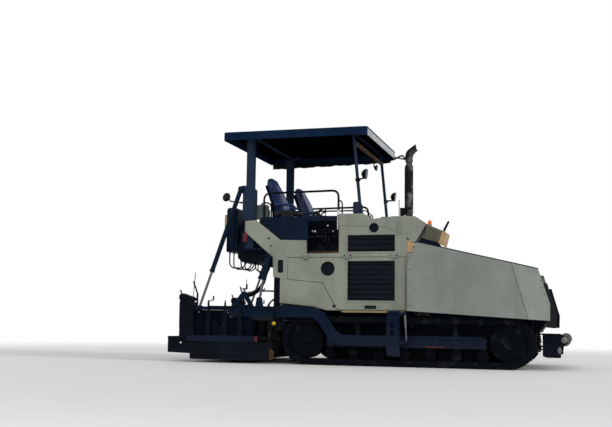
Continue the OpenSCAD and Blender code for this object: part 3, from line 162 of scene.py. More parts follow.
def rounded_ring(half_a, half_b, r, steps=4):
    """Rounded rectangle: quarter arcs of radius r about corner centres (half_a - r, half_b - r)."""
    r = min(r, half_a, half_b)
    angle = (np.linspace(0, np.pi / 2, steps)[None] + np.arange(4)[:, None] * np.pi / 2).ravel()
    corner = np.repeat(np.array([[1, 1], [-1, 1], [-1, -1], [1, -1]]), steps, 0) * (half_a - r, half_b - r)
    return corner + r * np.stack([np.cos(angle), np.sin(angle)], 1)


def block(low, high, r=0.006, steps=4):
    """Rounded block: rounded rectangles along Z, which shrink by r (1 - cos t) over the last r of each end."""
    low, high = np.array(low, float), np.array(high, float)
    half = (high - low) / 2
    r = min(r, *(half * 0.98))
    t = np.linspace(0, np.pi / 2, steps)
    inset = np.concatenate([r * (1 - np.sin(t)), (r * (1 - np.sin(t)))[::-1]])
    height = np.concatenate([-half[2] + r * (1 - np.cos(t)), (half[2] - r * (1 - np.cos(t)))[::-1]])
    rings = [np.c_[rounded_ring(half[0] - i, half[1] - i, max(r - i, 0.1 * r), steps), np.full(4 * steps, h)]
             for i, h in zip(inset, height)]
    return skin(np.array(rings) + (low + high) / 2)


def plate(outline, y0, y1):
    """Flat plate: an outline of (x, z) points, repeated at both ends of its thickness in Y."""
    x, z = np.array(outline, float).T
    return skin(np.array([np.stack([x, np.full(len(x), y), z], 1) for y in (y0, y1)]))


def sheet(x0, x1, z0, z1, y0, y1):
    """Flat rectangular plate, by its limits."""
    return plate([(x0, z0), (x1, z0), (x1, z1), (x0, z1)], y0, y1)


def moved(shapes, by):
    """Shapes moved by a vector."""
    return [(points + by, faces) for points, faces in shapes]


def mirrored(shapes):
    """The same shapes on the other side of the middle plane Y = 0."""
    return [(points * (1, -1, 1), [face[::-1] for face in faces]) for points, faces in shapes]


def meshed(name, points, faces, finish, smooth=True):
    """A mesh from points and faces, shaded smooth or flat, with its finish."""
    mesh = bpy.data.meshes.new(name)
    mesh.from_pydata(points.tolist(), [], faces)
    mesh.polygons.foreach_set("use_smooth", [smooth] * len(mesh.polygons))
    if finish:
        mesh.materials.append(finish)
    return mesh


def piece(name, shapes, finish, body="root", slot=None, smooth=True, bevel=0.0):
    """One object from closed shapes: points and faces are joined, normals turned outwards, and it rides a body."""
    points, faces, start = [], [], 0
    for p, f in shapes:
        points.append(p)
        faces += [[k + start for k in face] for face in f]
        start += len(p)
    mesh = meshed(name, np.concatenate(points), faces, finish, smooth)
    made = bmesh.new()
    made.from_mesh(mesh)
    bmesh.ops.recalc_face_normals(made, faces=made.faces)
    made.to_mesh(mesh)
    made.free()
    thing = linked(name, mesh)
    if smooth:
        mesh.set_sharp_from_angle(angle=SHARP)
    if bevel:
        edge = thing.modifiers.new("edge", "BEVEL")
        edge.width, edge.segments, edge.limit_method = bevel, 2, "ANGLE"
    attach(thing, body)
    print(name, len(mesh.polygons), "faces on", body)
    return thing


def pair(name, shapes, finish, **more):
    """One piece on both sides: shapes of the right side and their mirror images."""
    return piece(name, shapes + mirrored(shapes), finish, **more)


def handed(name, shapes, finish, body=None, **more):
    """Two pieces, right and left, on bodies of their own: body_right and body_left, or else both on root."""
    for side, mine in (("right", shapes), ("left", mirrored(shapes))):
        piece(name + "_" + side, mine, finish, body=body + "_" + side if body else "root", **more)


# %% [markdown]
# ## Finishes
# A used machine shows its age in layers: faded coats, dirt that runs down in streaks, stone chips,
# worn corners and road dust low down. Each finish below builds those layers from noise at real
# scales, given as a feature size in metres. Image textures could do it too, but they don't follow
# a part when its shape changes.

# %% Colours and nodes
# UNDERSIDE_SHADE is the near black of painted shade under things
ROAD_DUST, UNDERSIDE_SHADE, POWDER = "#8C8375", "#020304", "#857C6E"


def linear(code):
    """sRGB hex colour to linear: c / 12.92 below 0.04045, ((c + 0.055) / 1.055) ** 2.4 above."""
    c = np.array([int(code[i:i + 2], 16) for i in (1, 3, 5)]) / 255
    return (*np.where(c <= 0.04045, c / 12.92, ((c + 0.055) / 1.055) ** 2.4).tolist(), 1.0)


def add(tree, kind, inputs=None, **settings):
    """One node: settings go on the node, and inputs on its sockets, as values or as links."""
    node = tree.nodes.new("ShaderNode" + kind)
    for key, value in settings.items():
        setattr(node, key, value)
    for key, value in (inputs or {}).items():
        if isinstance(value, bpy.types.NodeSocket):
            tree.links.new(value, node.inputs[key])
        else:
            node.inputs[key].default_value = value
    return node


def noise(tree, place, scale, detail, rough=0.5):
    """Noise in scale cells a metre."""
    return add(tree, "TexNoise", {"Vector": place, "Scale": scale, "Detail": detail, "Roughness": rough}).outputs["Fac"]


def ramp(tree, value, from_0, from_1, to_0=0.0, to_1=1.0):
    """A value mapped from one range to another, kept inside it."""
    return add(tree, "MapRange", {"Value": value, "From Min": from_0, "From Max": from_1, "To Min": to_0,
                                  "To Max": to_1}).outputs[0]


def maths(tree, operation, a, b):
    """One operation on two values."""
    return add(tree, "Math", {0: a, 1: b}, operation=operation).outputs[0]


def mixed(tree, share, a, b):
    """Colours a and b, each a hex code or a socket, mixed by share."""
    a, b = (linear(c) if isinstance(c, str) else c for c in (a, b))
    return add(tree, "Mix", {0: share, 6: a, 7: b}, data_type="RGBA").outputs[2]


def bump(tree, height, strength, distance, below=None):
    """Relief of a height field, over the relief below it."""
    inputs = {"Height": height, "Strength": strength, "Distance": distance}
    return add(tree, "Bump", {**inputs, "Normal": below} if below else inputs).outputs[0]


def start(name, **sockets):
    """A new material: its tree, its shader with the given sockets set, and the object's own coordinates."""
    material = bpy.data.materials.new(name)
    material.use_nodes = True
    tree = material.node_tree
    shader = tree.nodes["Principled BSDF"]
    for key, value in sockets.items():
        shader.inputs[key.replace("_", " ")].default_value = value
    return material, tree, shader, add(tree, "TexCoord").outputs["Object"]


def close(material, tree, shader, **sources):
    """Links the sources to the shader's sockets of those names, and hands the material back."""
    for key, source in sources.items():
        tree.links.new(source, shader.inputs[key.replace("_", " ")])
    print(material.name, len(tree.nodes), "nodes")
    return material


# %% [markdown]
# ### Machine enamel
# Two-part enamel over primer on sheet steel. Years outdoors chalk it in clouds about half a metre
# across, rain draws grey streaks below edges, stones chip it down to rust in spots of 10 to 20 mm,
# and corners rub bare. The rubbed corners come from a Bevel node, which senses edges in any mesh.

# %% Machine enamel
def enamel(name, coat, faded, grime="#4A4336", rust="#6E4024", streaks=0.35, chips=0.55, wear=0.6,
           dust=0.5, dust_top=1.0, rough=0.42, gloss=0.4, underside_shade=0.0):
    """Used enamel. dust_top is the height in metres at which road dust has thinned out; underside_shade is painted
    shade on the faces that look down.
    """
    material, tree, shader, place = start(name, Specular_IOR_Level=gloss)
    cloud = noise(tree, place, 1.9, 4.0, 0.6)
    colour = mixed(tree, ramp(tree, cloud, 0.36, 0.66), coat, faded)
    run = add(tree, "Mapping", {"Vector": place, "Scale": (11.0, 11.0, 0.55)}).outputs[0]
    colour = mixed(tree, ramp(tree, noise(tree, run, 1.0, 5.0), 0.5, 0.78, 0.0, streaks), colour, grime)
    # Chips: fine spots of about 12 mm that only break through inside larger patches
    patch = noise(tree, place, 3.2, 2.0)
    chip = ramp(tree, maths(tree, "MULTIPLY", noise(tree, place, 46.0, 3.0), patch), 0.395, 0.42, 0.0, chips)
    round_edge = add(tree, "Bevel", {"Radius": 0.009}, samples=4).outputs[0]
    true_face = add(tree, "NewGeometry").outputs["Normal"]
    flatness = add(tree, "VectorMath", {0: round_edge, 1: true_face}, operation="DOT_PRODUCT").outputs["Value"]
    edge = maths(tree, "MULTIPLY", ramp(tree, flatness, 0.985, 0.86, 0.0, wear), ramp(tree, patch, 0.4, 0.6))
    bare = maths(tree, "MAXIMUM", chip, edge)
    colour = mixed(tree, bare, colour, rust)
    # Road dust: thick near the ground, gone at dust_top, broken by the clouds
    height = add(tree, "SeparateXYZ", {0: place}).outputs["Z"]
    settled = maths(tree, "MULTIPLY", ramp(tree, height, dust_top, 0.05, 0.0, dust), cloud)
    colour = mixed(tree, settled, colour, ROAD_DUST)
    # Painted shade: faces that look down turn towards near black, by underside_shade
    facing = add(tree, "SeparateXYZ", {0: true_face}).outputs["Z"]
    colour = mixed(tree, ramp(tree, facing, -0.6, -0.9, 0.0, underside_shade), colour, UNDERSIDE_SHADE)
    matt = maths(tree, "MAXIMUM", ramp(tree, cloud, 0.0, 1.0, rough - 0.08, rough + 0.2), bare)
    relief = bump(tree, noise(tree, place, 2.6, 1.0), 0.25, 0.02, round_edge)
    relief = bump(tree, noise(tree, place, 160.0, 2.0), 0.12, 0.0006, relief)
    return close(material, tree, shader, Base_Color=colour, Roughness=matt, Normal=relief)


# The cream coats are set darker than the paint really is, part of the way to its look in shade: partly painted shade.
# The wing's coat is greyer and darker again, partly for dirt and partly as painted shade.
body_enamel = enamel("cream_enamel_sheet_steel", "#888D80", "#7A7F74", streaks=0.25, chips=0.4, dust_top=0.9,
                     dust=0.2)
wing_enamel = enamel("grey_cream_enamel_plate", "#808881", "#737A74", grime="#5E5F54", streaks=0.28, chips=0.5,
                     wear=0.8, dust=0.2, dust_top=1.2)
louvre_enamel = enamel("dusty_olive_louvres", "#67665A", "#56564C", grime="#2E2D27", streaks=0.4, chips=0.3,
                       wear=0.4, dust=0.0, rough=0.6, gloss=0.2)
navy_enamel = enamel("navy_enamel_steel", "#061428", "#0A1A2E", grime="#050A12", rust="#2A2220", chips=0.2,
                     wear=0.12, dust=0.08, dust_top=0.6, gloss=0.06)
screed_enamel = enamel("navy_enamel_screed", "#040B16", "#081220", grime="#04070D", rust="#241E1C", streaks=0.3,
                       chips=0.15, wear=0.08, dust=0.04, dust_top=0.5, rough=0.5, gloss=0.03)
# The roof and its posts carry painted shade on their undersides
roof_enamel = enamel("navy_enamel_roof", "#0F1F35", "#162942", grime="#060B13", streaks=0.2, chips=0.1, wear=0.1,
                     dust=0.0, rough=0.4, gloss=0.0, underside_shade=1.0)
post_enamel = enamel("navy_enamel_posts", "#222E3F", "#29364A", grime="#0A111B", streaks=0.2, chips=0.1,
                     wear=0.1, dust=0.0, rough=0.4, gloss=0.0, underside_shade=1.0)
black_enamel = enamel("black_enamel_steel", "#060A12", "#0B121D", grime="#03060A", rust="#1E1C1C", streaks=0.3,
                      chips=0.15, wear=0.1, dust=0.02, dust_top=0.5, rough=0.5, gloss=0.05)
slat_enamel = enamel("black_powder_coat_slats", "#0B1118", "#141D26", grime="#040609", rust="#2C211A",
                     streaks=0.2, chips=0.1, wear=0.0, dust=0.0, rough=0.45, gloss=0.08)
tan_enamel = enamel("tan_primed_plate", "#B1966A", "#9A825C", grime="#5F4930", rust="#6E4327", streaks=0.4,
                    chips=0.5, dust=0.0, rough=0.55)
rusty_enamel = enamel("rust_bled_enamel", "#4A3728", "#38291E", grime="#1A1510", rust="#5A3C24", streaks=0.5,
                      chips=0.6, wear=0.4, dust=0.05, rough=0.7, gloss=0.1)

# %% [markdown]
# ### Bare and worked steel
# Track plates are cast manganese steel: rough, nearly black, polished only where they touch the
# ground. Auger blades and conveyor bars are scoured by hot stone and then filmed with bitumen. Rods
# are hard chrome, ground and polished. All are metals, so their colour lies in the reflection.

# %% Bare and worked steel
def worked_steel(name, bright, film, film_share, scratch, rough, gloss=0.3):
    """Metal under a patchy film. film_share is the part that is covered, scratch the stretch of its marks."""
    material, tree, shader, place = start(name, Metallic=1.0, Specular_IOR_Level=gloss)
    lie = add(tree, "Mapping", {"Vector": place, "Scale": scratch}).outputs[0]
    marks, patch = noise(tree, lie, 14.0, 6.0, 0.7), noise(tree, place, 5.5, 5.0, 0.62)
    cover = ramp(tree, patch, 0.62 - 0.3 * film_share, 0.72 - 0.3 * film_share)
    colour = mixed(tree, cover, mixed(tree, ramp(tree, marks, 0.35, 0.65), *bright), film)
    matt = maths(tree, "MAXIMUM", ramp(tree, marks, 0.0, 1.0, rough - 0.1, rough + 0.25), cover)
    relief = bump(tree, patch, 0.4, 0.004, bump(tree, marks, 0.35, 0.0015))
    return close(material, tree, shader, Base_Color=colour, Metallic=ramp(tree, cover, 0.0, 1.0, 1.0, 0.1),
                 Roughness=maths(tree, "MINIMUM", matt, 0.85), Normal=relief)


cast_track_steel = worked_steel("cast_manganese_track_steel", ("#1B1E22", "#272A2D"), "#080C12", 0.95, (1, 3, 1),
                                0.55, gloss=0.06)
scoured_steel = worked_steel("scoured_wear_steel", ("#55524D", "#6A665E"), "#101114", 0.7, (1, 1, 6), 0.42,
                             gloss=0.1)
auger_steel = worked_steel("bitumen_filmed_auger_steel", ("#2B2A29", "#3A3733"), "#0A0B0D", 0.85, (1, 1, 6), 0.5,
                           gloss=0.05)
pale_steel = worked_steel("turned_steel_caps", ("#717375", "#5E6062"), "#232425", 0.45, (3, 3, 3), 0.4)
# The chrome is set far darker than bare chrome: a painted reflection of dark surroundings
ground_chrome = worked_steel("ground_hard_chrome", ("#6C7076", "#5A5E64"), "#3A3A38", 0.0, (3, 3, 0.4), 0.14)
cast_iron = worked_steel("painted_cast_iron_block", ("#3A3C3E", "#2E3032"), "#17181A", 0.9, (1, 1, 1), 0.55)
sooty_steel = worked_steel("sooty_exhaust_steel", ("#454549", "#575659"), "#1B1C20", 0.8, (1, 1, 0.3), 0.5,
                           gloss=0.1)

# %% [markdown]
# ### Vinyl, plastic, rubber and lenses
# Seat vinyl is calendered with a leather grain and keeps a soft shine on stretched parts. Its grain
# is 1.5 mm on the real seat, and 4 mm here so that it shows. Desk housings are moulded with a fine
# spark-eroded texture. Rubber is nearly black and dusty. Lenses are tinted polycarbonate.

# %% Soft and clear finishes
def moulded(name, colour, faded_and_sheen, grain, depth, rough, coat=0.0, dusty=0.0):
    """Polymer with a pebbled grain: cells of size grain in metres, raised by depth, and a second tone in patches:
    fading, and on the seat vinyl a painted blue sheen.
    """
    material, tree, shader, place = start(name, Coat_Weight=coat, Coat_Roughness=0.3, Specular_IOR_Level=0.15)
    cells = add(tree, "TexVoronoi", {"Vector": place, "Scale": 1 / grain}, feature="DISTANCE_TO_EDGE")
    tone = noise(tree, place, 6.0, 5.0)
    powder = ramp(tree, noise(tree, place, 30.0, 4.0), 0.45, 0.7, 0.0, dusty)
    colour = mixed(tree, powder, mixed(tree, ramp(tree, tone, 0.4, 0.68), colour, faded_and_sheen), POWDER)
    return close(material, tree, shader, Base_Color=colour, Normal=bump(tree, cells.outputs["Distance"], 0.5, depth),
                 Roughness=ramp(tree, tone, 0.0, 1.0, rough - 0.1, rough + 0.15))


# The seat vinyl's lighter blue second tone is painted sky-blue sheen, in patches
seat_vinyl = moulded("navy_grained_seat_vinyl", "#18264A", "#2F467A", 0.004, 0.0006, 0.4, coat=0.1)
piping_vinyl = moulded("black_welt_vinyl", "#14141C", "#1E1E28", 0.004, 0.0004, 0.45)
desk_plastic = moulded("black_textured_abs", "#0F1114", "#181B20", 0.003, 0.0003, 0.5)
flap_rubber = moulded("black_sheet_rubber", "#090C12", "#10151D", 0.012, 0.0004, 0.65, dusty=0.02)
hose_rubber = moulded("black_hose_rubber", "#0A0C0E", "#121518", 0.006, 0.0003, 0.5, dusty=0.06)
amber_lens = moulded("amber_polycarbonate", "#E0661A", "#D9752E", 0.008, 0.0004, 0.15, coat=0.6)
red_lens = moulded("red_polycarbonate", "#5E0E16", "#480A10", 0.008, 0.0004, 0.18, coat=0.3)
yellow_knob = moulded("yellow_moulded_nylon", "#C9A227", "#B08A1E", 0.004, 0.0002, 0.4)
white_sleeve = moulded("white_pvc_sleeve", "#D6D6D0", "#C2C2BA", 0.006, 0.0002, 0.4)
panel_plastic = moulded("smoked_side_panel", "#3E4A4C", "#4B5654", 0.010, 0.0002, 0.3, coat=0.2)
smoked_glass = moulded("dusty_lamp_glass", "#22272D", "#30363C", 0.010, 0.0002, 0.22, coat=0.4)
pale_enamel = enamel("sun_bleached_pale_enamel", "#9CA0A5", "#898E93", grime="#6A6E70", streaks=0.3, chips=0.2,
                     wear=0.3, dust=0.0, rough=0.4)

# %% [markdown]
# ## Finishes on the solids
# The imported solids keep their meshes. Only the material in each one's slot is changed.

# %% Finishes on the solids
FINISH_OF = {
    body_enamel: "engine_housing hood intake_box door_right door_left",
    wing_enamel: "wing_right wing_left",
    navy_enamel: "track_frames platform rear_cabinet tow_guides tow_arms hopper lift_barrels strut_barrels",
    screed_enamel: "screed_frame extension_right extension_left",
    roof_enamel: "canopy",
    post_enamel: "canopy_posts",
    black_enamel: "chassis step_wells handrails lamps rear_frame rear_tank front_apron auger_carrier"
                  " end_gate_right end_gate_left push_beam",
    slat_enamel: "top_grilles door_grille_right door_grille_left",
    cast_track_steel: "track_right track_left track_wheels",
    scoured_steel: "conveyors push_roller_right push_roller_left",
    auger_steel: "auger_right auger_left",
    ground_chrome: "lift_rods strut_rods levelling_rods",
    cast_iron: "engine",
    sooty_steel: "exhaust",
    seat_vinyl: "seats",
    desk_plastic: "consoles",
    flap_rubber: "wing_flap_right wing_flap_left",
    amber_lens: "beacon",
}
dressed = [nodes[name] for names in FINISH_OF.values() for name in names.split()]
for solid, finish in zip(dressed, (f for f, names in FINISH_OF.items() for _ in names.split())):
    solid.data.materials.clear()
    solid.data.materials.append(finish)
print(len(dressed), "of", len(nodes), "solids have a finish")

# %% [markdown]
# ## Hoses
# Hydraulic hoses are rubber tubes over braided wire, 20 to 30 mm thick, so they hang in wide loops
# and never kink. Each one leaves its fitting straight, sags and enters the next fitting straight. A
# curve object with a bevel would do for those that stay still. Every hose is a mesh tube round a
# smooth path of a few points.

# %% Hoses
PORT_Z = 1.639  # level of the ports under the platform


def hose(name, route, diameter, blended=False):
    """A tube of 12 sides round 38 points of the smooth path of a route."""
    path = smooth_path(route, 38)
    thing = linked(name, meshed(name, *carried(path, diameter / 2), hose_rubber))
    if blended:
        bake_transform(thing)
    else:
        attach(thing, "root")
    return path


def ferrules(path, r, count):
    """Crimped ferrule and hexagon nut, turned along the hose's direction, at its first end or at both ends."""
    grip = [(r * 1.02, -0.001), (r * 1.3, 0.002), (r * 1.3, 0.03), (r * 1.18, 0.034), (r * 1.02, 0.036)]
    nut = [(0, -0.012), (r * 1.45, -0.012), (r * 1.6, -0.008), (r * 1.6, 0.004), (r * 1.45, 0.007), (0, 0.007)]
    return [turned(profile, end[0], end[1] - end[0], sides) for end in (path, path[::-1])[:count]
            for profile, sides in ((grip, 20), (nut, 6))]


def hanging_loop(y, x0, top, x1, low, widest):
    """Down from top at x0, a quarter circle, along the level low, a quarter circle, and up at x1 to a port.

    The circles' radius is r = min(widest, (x1 - x0) / 2)."""
    r = min(widest, (x1 - x0) / 2)
    a = np.linspace(0, np.pi / 2, 10)[:, None]
    first = np.array([x0 + r, y, low + r]) - r * (np.cos(a) * (1, 0, 0) + np.sin(a) * (0, 0, 1))
    second = np.array([x1 - r, y, low + r]) + r * (np.sin(a) * (1, 0, 0) - np.cos(a) * (0, 0, 1))
    return np.vstack([(x0, y, top), (x0, y, (top + low + r) / 2), first, second[1 if x1 - x0 < 2.02 * r else 0:],
                      (x1, y, (PORT_Z + low + r) / 2), (x1, y, PORT_Z)])


LOOPS = {
    "cabinet": (0.022, [(-0.955, -2.25, 1.811, -1.965, 1.549, 0.094), (-0.88, -2.075, 1.699, -1.85, 1.52, 0.1),
                        (-0.8, -2.235, 1.811, -1.925, 1.535, 0.094)]),
    "tank": (0.02, [(-0.975, -1.79, PORT_Z, -1.615, 1.49, 0.1), (-0.925, -1.99, PORT_Z, -1.8, 1.5, 0.1),
                    (-0.75, -1.82, PORT_Z, -1.64, 1.46, 0.1)]),
}
fittings = []
for name, (diameter, loops) in LOOPS.items():
    for k, loop in enumerate(loops):
        fittings += ferrules(hose("%s_hose_%d" % (name, k + 1), hanging_loop(*loop), diameter), diameter / 2, 2)
DROPS = (0.0, 0.018, 0.032, -0.018, -0.036)  # how much deeper each screed hose hangs
for name, places in (("right", (-0.955, -0.927, -0.899, -0.871, -0.843)), ("left", (0.8, 0.75))):
    for k, (y, drop) in enumerate(zip(places, DROPS)):
        route = [(-1.6 - 0.5 * drop, y, PORT_Z), (-1.603 - 0.5 * drop, y, 1.56), (-1.625, y, 1.43 - drop),
                 (-1.672, y, 1.3 - drop), (-1.75, y, 1.195 - drop), (-1.87, y, 1.125 - drop),
                 (-2.0, y, 1.095 - drop), (-2.088, y, 1.05 - drop), (-2.138, y, 0.965 - 0.3 * drop),
                 (-2.136, y, 0.875), (-2.105, y, 0.8), (-2.071, y, 0.757)]
        fittings += ferrules(hose("screed_hose_%s_%d" % (name, k + 1), route, 0.028, blended=True), 0.014, 1)
piece("hose_ferrules", fittings, scoured_steel)

# %% [markdown]
# ## Padded seats
# Each seat is foam on a steel pan, covered with vinyl that is sewn along a welt. Foam pushes the
# cover out between the seams, and the seams hold it in. So each pad starts as a swept form between
# two curves, a little slim, and Blender's cloth is blown up with its seams pinned. Displacing it with
# noise would be quicker, but it doesn't give the folds that start at a seam.

# %% The swept form of a pad
SEAT_Y = 0.62
SEATS = {"near": (0, -SEAT_Y, 0), "far": (0.11, SEAT_Y, 0)}
FINE_QUADS = 24000  # a cover with fewer quads gets one subdivision
PRESSURE, FRAMES, MOST = 4.0, 20, 0.022  # MOST is the farthest that a point may move
SEAM_DEPTH, SEAM_REACH = 0.003, 0.007


def pad_form(under, over, half, lift=0.0, rings=46, count=64):
    """Swept pad: at t a rounded section spans under(t) to over(t), curves in X and Z, and half(t) across.

    Across: y = half sgn(cos a) |cos a|^0.45. Depth: d = 1/2 + 1/2 sgn(sin a) |sin a|^0.55, raised by
    lift where |y| passes 0.62 of half. Over the last 8 % at each end s goes from 0 to 1 and the
    section shrinks by sqrt(1 - 0.93 s^2), which crowns the end."""
    t = np.linspace(0, 1, rings)
    low, high = (smooth_path([(x, 0, z) for x, z in curve], rings) for curve in (under, over))
    s = np.clip(np.maximum(0.08 - t, t - 0.92) / 0.08, 0, 1)
    shrink = np.sqrt(np.clip(1 - 0.93 * s ** 2, 0, 1))[:, None]
    a = np.linspace(0, 2 * np.pi, count, endpoint=False)[None]
    across = np.sign(np.cos(a)) * np.abs(np.cos(a)) ** 0.45
    depth = np.sign(np.sin(a)) * np.abs(np.sin(a)) ** 0.55
    bulge = lift * np.clip((np.abs(across) - 0.62) / 0.14, 0, 1) * (depth > 0) * depth
    width = np.interp(t, *zip(*half))[:, None]
    d = 0.5 + 0.5 * depth * shrink
    ahead = unit(high - low)
    points = low[:, None] + d[..., None] * (high - low)[:, None] + (bulge * shrink)[..., None] * ahead[:, None]
    points[..., 1] = width * across * (0.6 + 0.4 * shrink)
    return points


def seam_lines(points, columns, rows, around=4):
    """Seams of a pad, read from its own grid: chosen columns, chosen rows and the welt round the front."""
    m, n = points.shape[:2]
    lines = [points[4:m - 3, c] for c in columns] + [points[r, 4:n // 2 - 3] for r in rows]
    left, right = points[3:m - 2, around], points[3:m - 2, n // 2 - around]
    top, bottom = points[m - 3, around:n // 2 - around + 1], points[2, around:n // 2 - around + 1]
    return lines, np.concatenate([left, top, right[::-1], bottom[::-1]])


def blown(name, shape, seams, voxel):
    """Voxel remesh, cloth under pressure with the seams pinned, then seams drawn in by depth exp(-(d / reach)^2)."""
    soft = linked(name, meshed(name, *shape, None, smooth=False))
    remesh = soft.modifiers.new("even", "REMESH")
    remesh.mode, remesh.voxel_size = "VOXEL", voxel
    fine = bpy.data.meshes.new_from_object(soft.evaluated_get(bpy.context.evaluated_depsgraph_get()))
    soft.modifiers.clear()
    soft.data = fine
    start_at = np.empty(len(fine.vertices) * 3)
    fine.vertices.foreach_get("co", start_at)
    start_at = start_at.reshape(-1, 3)
    near = np.full(len(start_at), np.inf)
    for line in seams:
        even = smooth_path(line, 260)
        for part in np.array_split(np.arange(len(start_at)), 24):
            near[part] = np.minimum(near[part], np.linalg.norm(start_at[part, None] - even[None], axis=2).min(1))
    sewn = soft.vertex_groups.new(name="sewn")
    sewn.add(np.flatnonzero(near < voxel * 1.05).tolist(), 1.0, "REPLACE")
    at = start_at.copy()
    cloth = soft.modifiers.new("cloth", "CLOTH")
    cloth.settings.use_pressure, cloth.settings.uniform_pressure_force = True, PRESSURE
    cloth.settings.effector_weights.gravity = 0.0
    cloth.settings.vertex_group_mass = "sewn"
    cloth.settings.quality = 5
    cloth.point_cache.frame_start, cloth.point_cache.frame_end = 1, FRAMES
    for step in range(1, FRAMES + 1):
        bpy.context.scene.frame_set(step)
    swollen = soft.evaluated_get(bpy.context.evaluated_depsgraph_get()).to_mesh()
    swollen.vertices.foreach_get("co", at.reshape(-1))
    soft.modifiers.remove(cloth)
    bpy.context.scene.frame_set(1)
    move = at - start_at
    size = np.linalg.norm(move, axis=1, keepdims=True)
    at = start_at + move * np.minimum(1, MOST / np.maximum(size, 1e-9))
    print(name, "moved at most", round(float(size.max()), 4), "m, kept to", MOST)
    normals = np.empty(len(at) * 3)
    fine.vertices.foreach_get("normal", normals)
    at -= normals.reshape(-1, 3) * (SEAM_DEPTH * np.exp(-(near / SEAM_REACH) ** 2))[:, None]
    bpy.data.objects.remove(soft)
    faces = np.empty(len(fine.loops), dtype=np.int32)
    fine.loops.foreach_get("vertex_index", faces)
    return at, faces.reshape(-1, 4)


def pad_piece(name, form, place):
    """The blown cover as a piece: its points moved to the seat's own place, one subdivision."""
    at, faces = form
    pad = linked(name, meshed(name, at + place, faces.tolist(), seat_vinyl))
    if len(faces) < FINE_QUADS:
        smooth = pad.modifiers.new("smooth", "SUBSURF")
        smooth.levels = smooth.render_levels = 1
    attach(pad, "root")
    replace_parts(pad, "seats")
    print(name, len(faces), "quads")


# %% Cushions and backs
cushion = pad_form([(-1.545, 2.3), (-1.3, 2.304), (-1.15, 2.312), (-1.105, 2.33)],
                   [(-1.55, 2.382), (-1.35, 2.392), (-1.18, 2.408), (-1.098, 2.386)],
                   [(0, 0.205), (0.5, 0.222), (1, 0.212)])
back = pad_form([(-1.532, 2.4), (-1.546, 2.56), (-1.608, 2.76), (-1.68, 2.975), (-1.694, 3.085)],
                [(-1.352, 2.43), (-1.368, 2.57), (-1.455, 2.78), (-1.57, 3.0), (-1.6, 3.075)],
                [(0, 0.215), (0.3, 0.222), (0.7, 0.205), (1, 0.15)], lift=0.018)
cushion_seams, cushion_welt = seam_lines(cushion, (10, 22), ())
back_seams, back_welt = seam_lines(back, (9, 23), (33,))
cushion_form = blown("cushion_cover", skin(cushion), cushion_seams + [cushion_welt], 0.007)
back_form = blown("back_cover", skin(back), back_seams + [back_welt], 0.008)
for label, place in SEATS.items():
    pad_piece("seat_cushion_" + label, cushion_form, place)
    pad_piece("seat_back_" + label, back_form, place)

# %% [markdown]
# ### Welts, pan, bellows and armrests
# The welt is a cord in a folded strip of vinyl, so it stands 4 mm proud all round the front of each
# pad. The pan is pressed steel, and below it a rubber bellows hides the spring suspension: its folds
# are a wave down the outline of a rounded rectangle. Armrests are skinned foam, softly rounded.

# %% Welts, pan, bellows and armrests
def welt_cord(seam, radius=0.005):
    """Closed tube of 8 sides round a seam, its circles square to the seam's direction."""
    line = smooth_path(np.vstack([seam, seam[:1]]), 220)[:-1]
    along = unit(np.roll(line, -1, 0) - np.roll(line, 1, 0))
    first = unit(np.cross((0.13, 0.97, 0.2), along))
    return skin(line[:, None] + radius * circle(first[:, None], np.cross(along, first)[:, None], 8), loop=True)


def bellows(low, high, folds, half_x, half_y, depth, x):
    """Rounded rectangles up the height; both half sizes follow depth times |sin(folds pi t)|."""
    t = np.linspace(0, 1, folds * 8 + 1)
    swell = depth * np.abs(np.sin(folds * np.pi * t)) - depth
    rings = [np.c_[rounded_ring(half_x + s, half_y + s, 0.05, 6), np.full(24, z)]
             for s, z in zip(swell, low + (high - low) * t)]
    return skin(np.array(rings) + (x, 0, 0))


def curved_block(route, half_y, half_z, y, count=30):
    """A bar of rounded section along a smooth route in X and Z, its ends crowned by shrinking the section."""
    path = smooth_path([(x, y, z) for x, z in route], count)
    s = np.clip(np.abs(np.linspace(-1, 1, count)) * 8 - 7, 0, 1)
    shrink = np.sqrt(1 - 0.9 * s ** 2)[:, None, None]
    up = np.cross(unit(np.gradient(path, axis=0)), (0, 1, 0))[:, None]
    ring = rounded_ring(half_y, half_z, min(half_y, half_z) * 0.8, 6)
    return skin(path[:, None] + shrink * (ring[:, :1] * (0, 1, 0) + ring[:, 1:] * up))


pan = [plate([(-1.6, 2.238), (-1.195, 2.238), (-1.152, 2.262), (-1.15, 2.276), (-1.185, 2.29), (-1.6, 2.298)],
             -0.205, 0.205),
       block((-1.558, -0.168, 1.8625), (-1.222, 0.168, 1.886), 0.008),
       curved_block([(-1.575, 2.3), (-1.565, 2.42), (-1.582, 2.6), (-1.64, 2.78), (-1.712, 2.97)], 0.165, 0.012, 0)]
arms = [curved_block([(-1.495, 2.606), (-1.4, 2.607), (-1.3, 2.6), (-1.21, 2.592), (-1.172, 2.588)], 0.026, 0.022,
                     -0.268)]
joints = [turned([(0, 0), (0.017, 0), (0.017, 0.115), (0.024, 0.117), (0.024, 0.128), (0, 0.128)],
                 (-1.47, -0.14, 2.606))]
for label, place in SEATS.items():
    for name, shapes, finish, bevel in (
            ("welt", [welt_cord(cushion_welt), welt_cord(back_welt)], piping_vinyl, 0),
            ("pan", pan, black_enamel, 0.003),
            ("bellows", [bellows(1.885, 2.238, 5, 0.15, 0.145, 0.02, -1.385)], flap_rubber, 0),
            ("armrests", arms + mirrored(arms), seat_vinyl, 0),
            ("arm_joints", joints + mirrored(joints), black_enamel, 0)):
        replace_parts(piece("seat_%s_%s" % (name, label), moved(shapes, place), finish, bevel=bevel), "seats")

# %% [markdown]
# ## Fasteners and trims
# A machine of plate steel is held by hexagon bolts on washers, and its openings are edged with folded
# strips. A bolt is a turned form of six sides over a round washer, so a row of them is one piece. An
# edging is a closed loop of four rounded rectangles, which has clean corners from the start. A
# Boolean could cut it too, but would leave long thin faces.

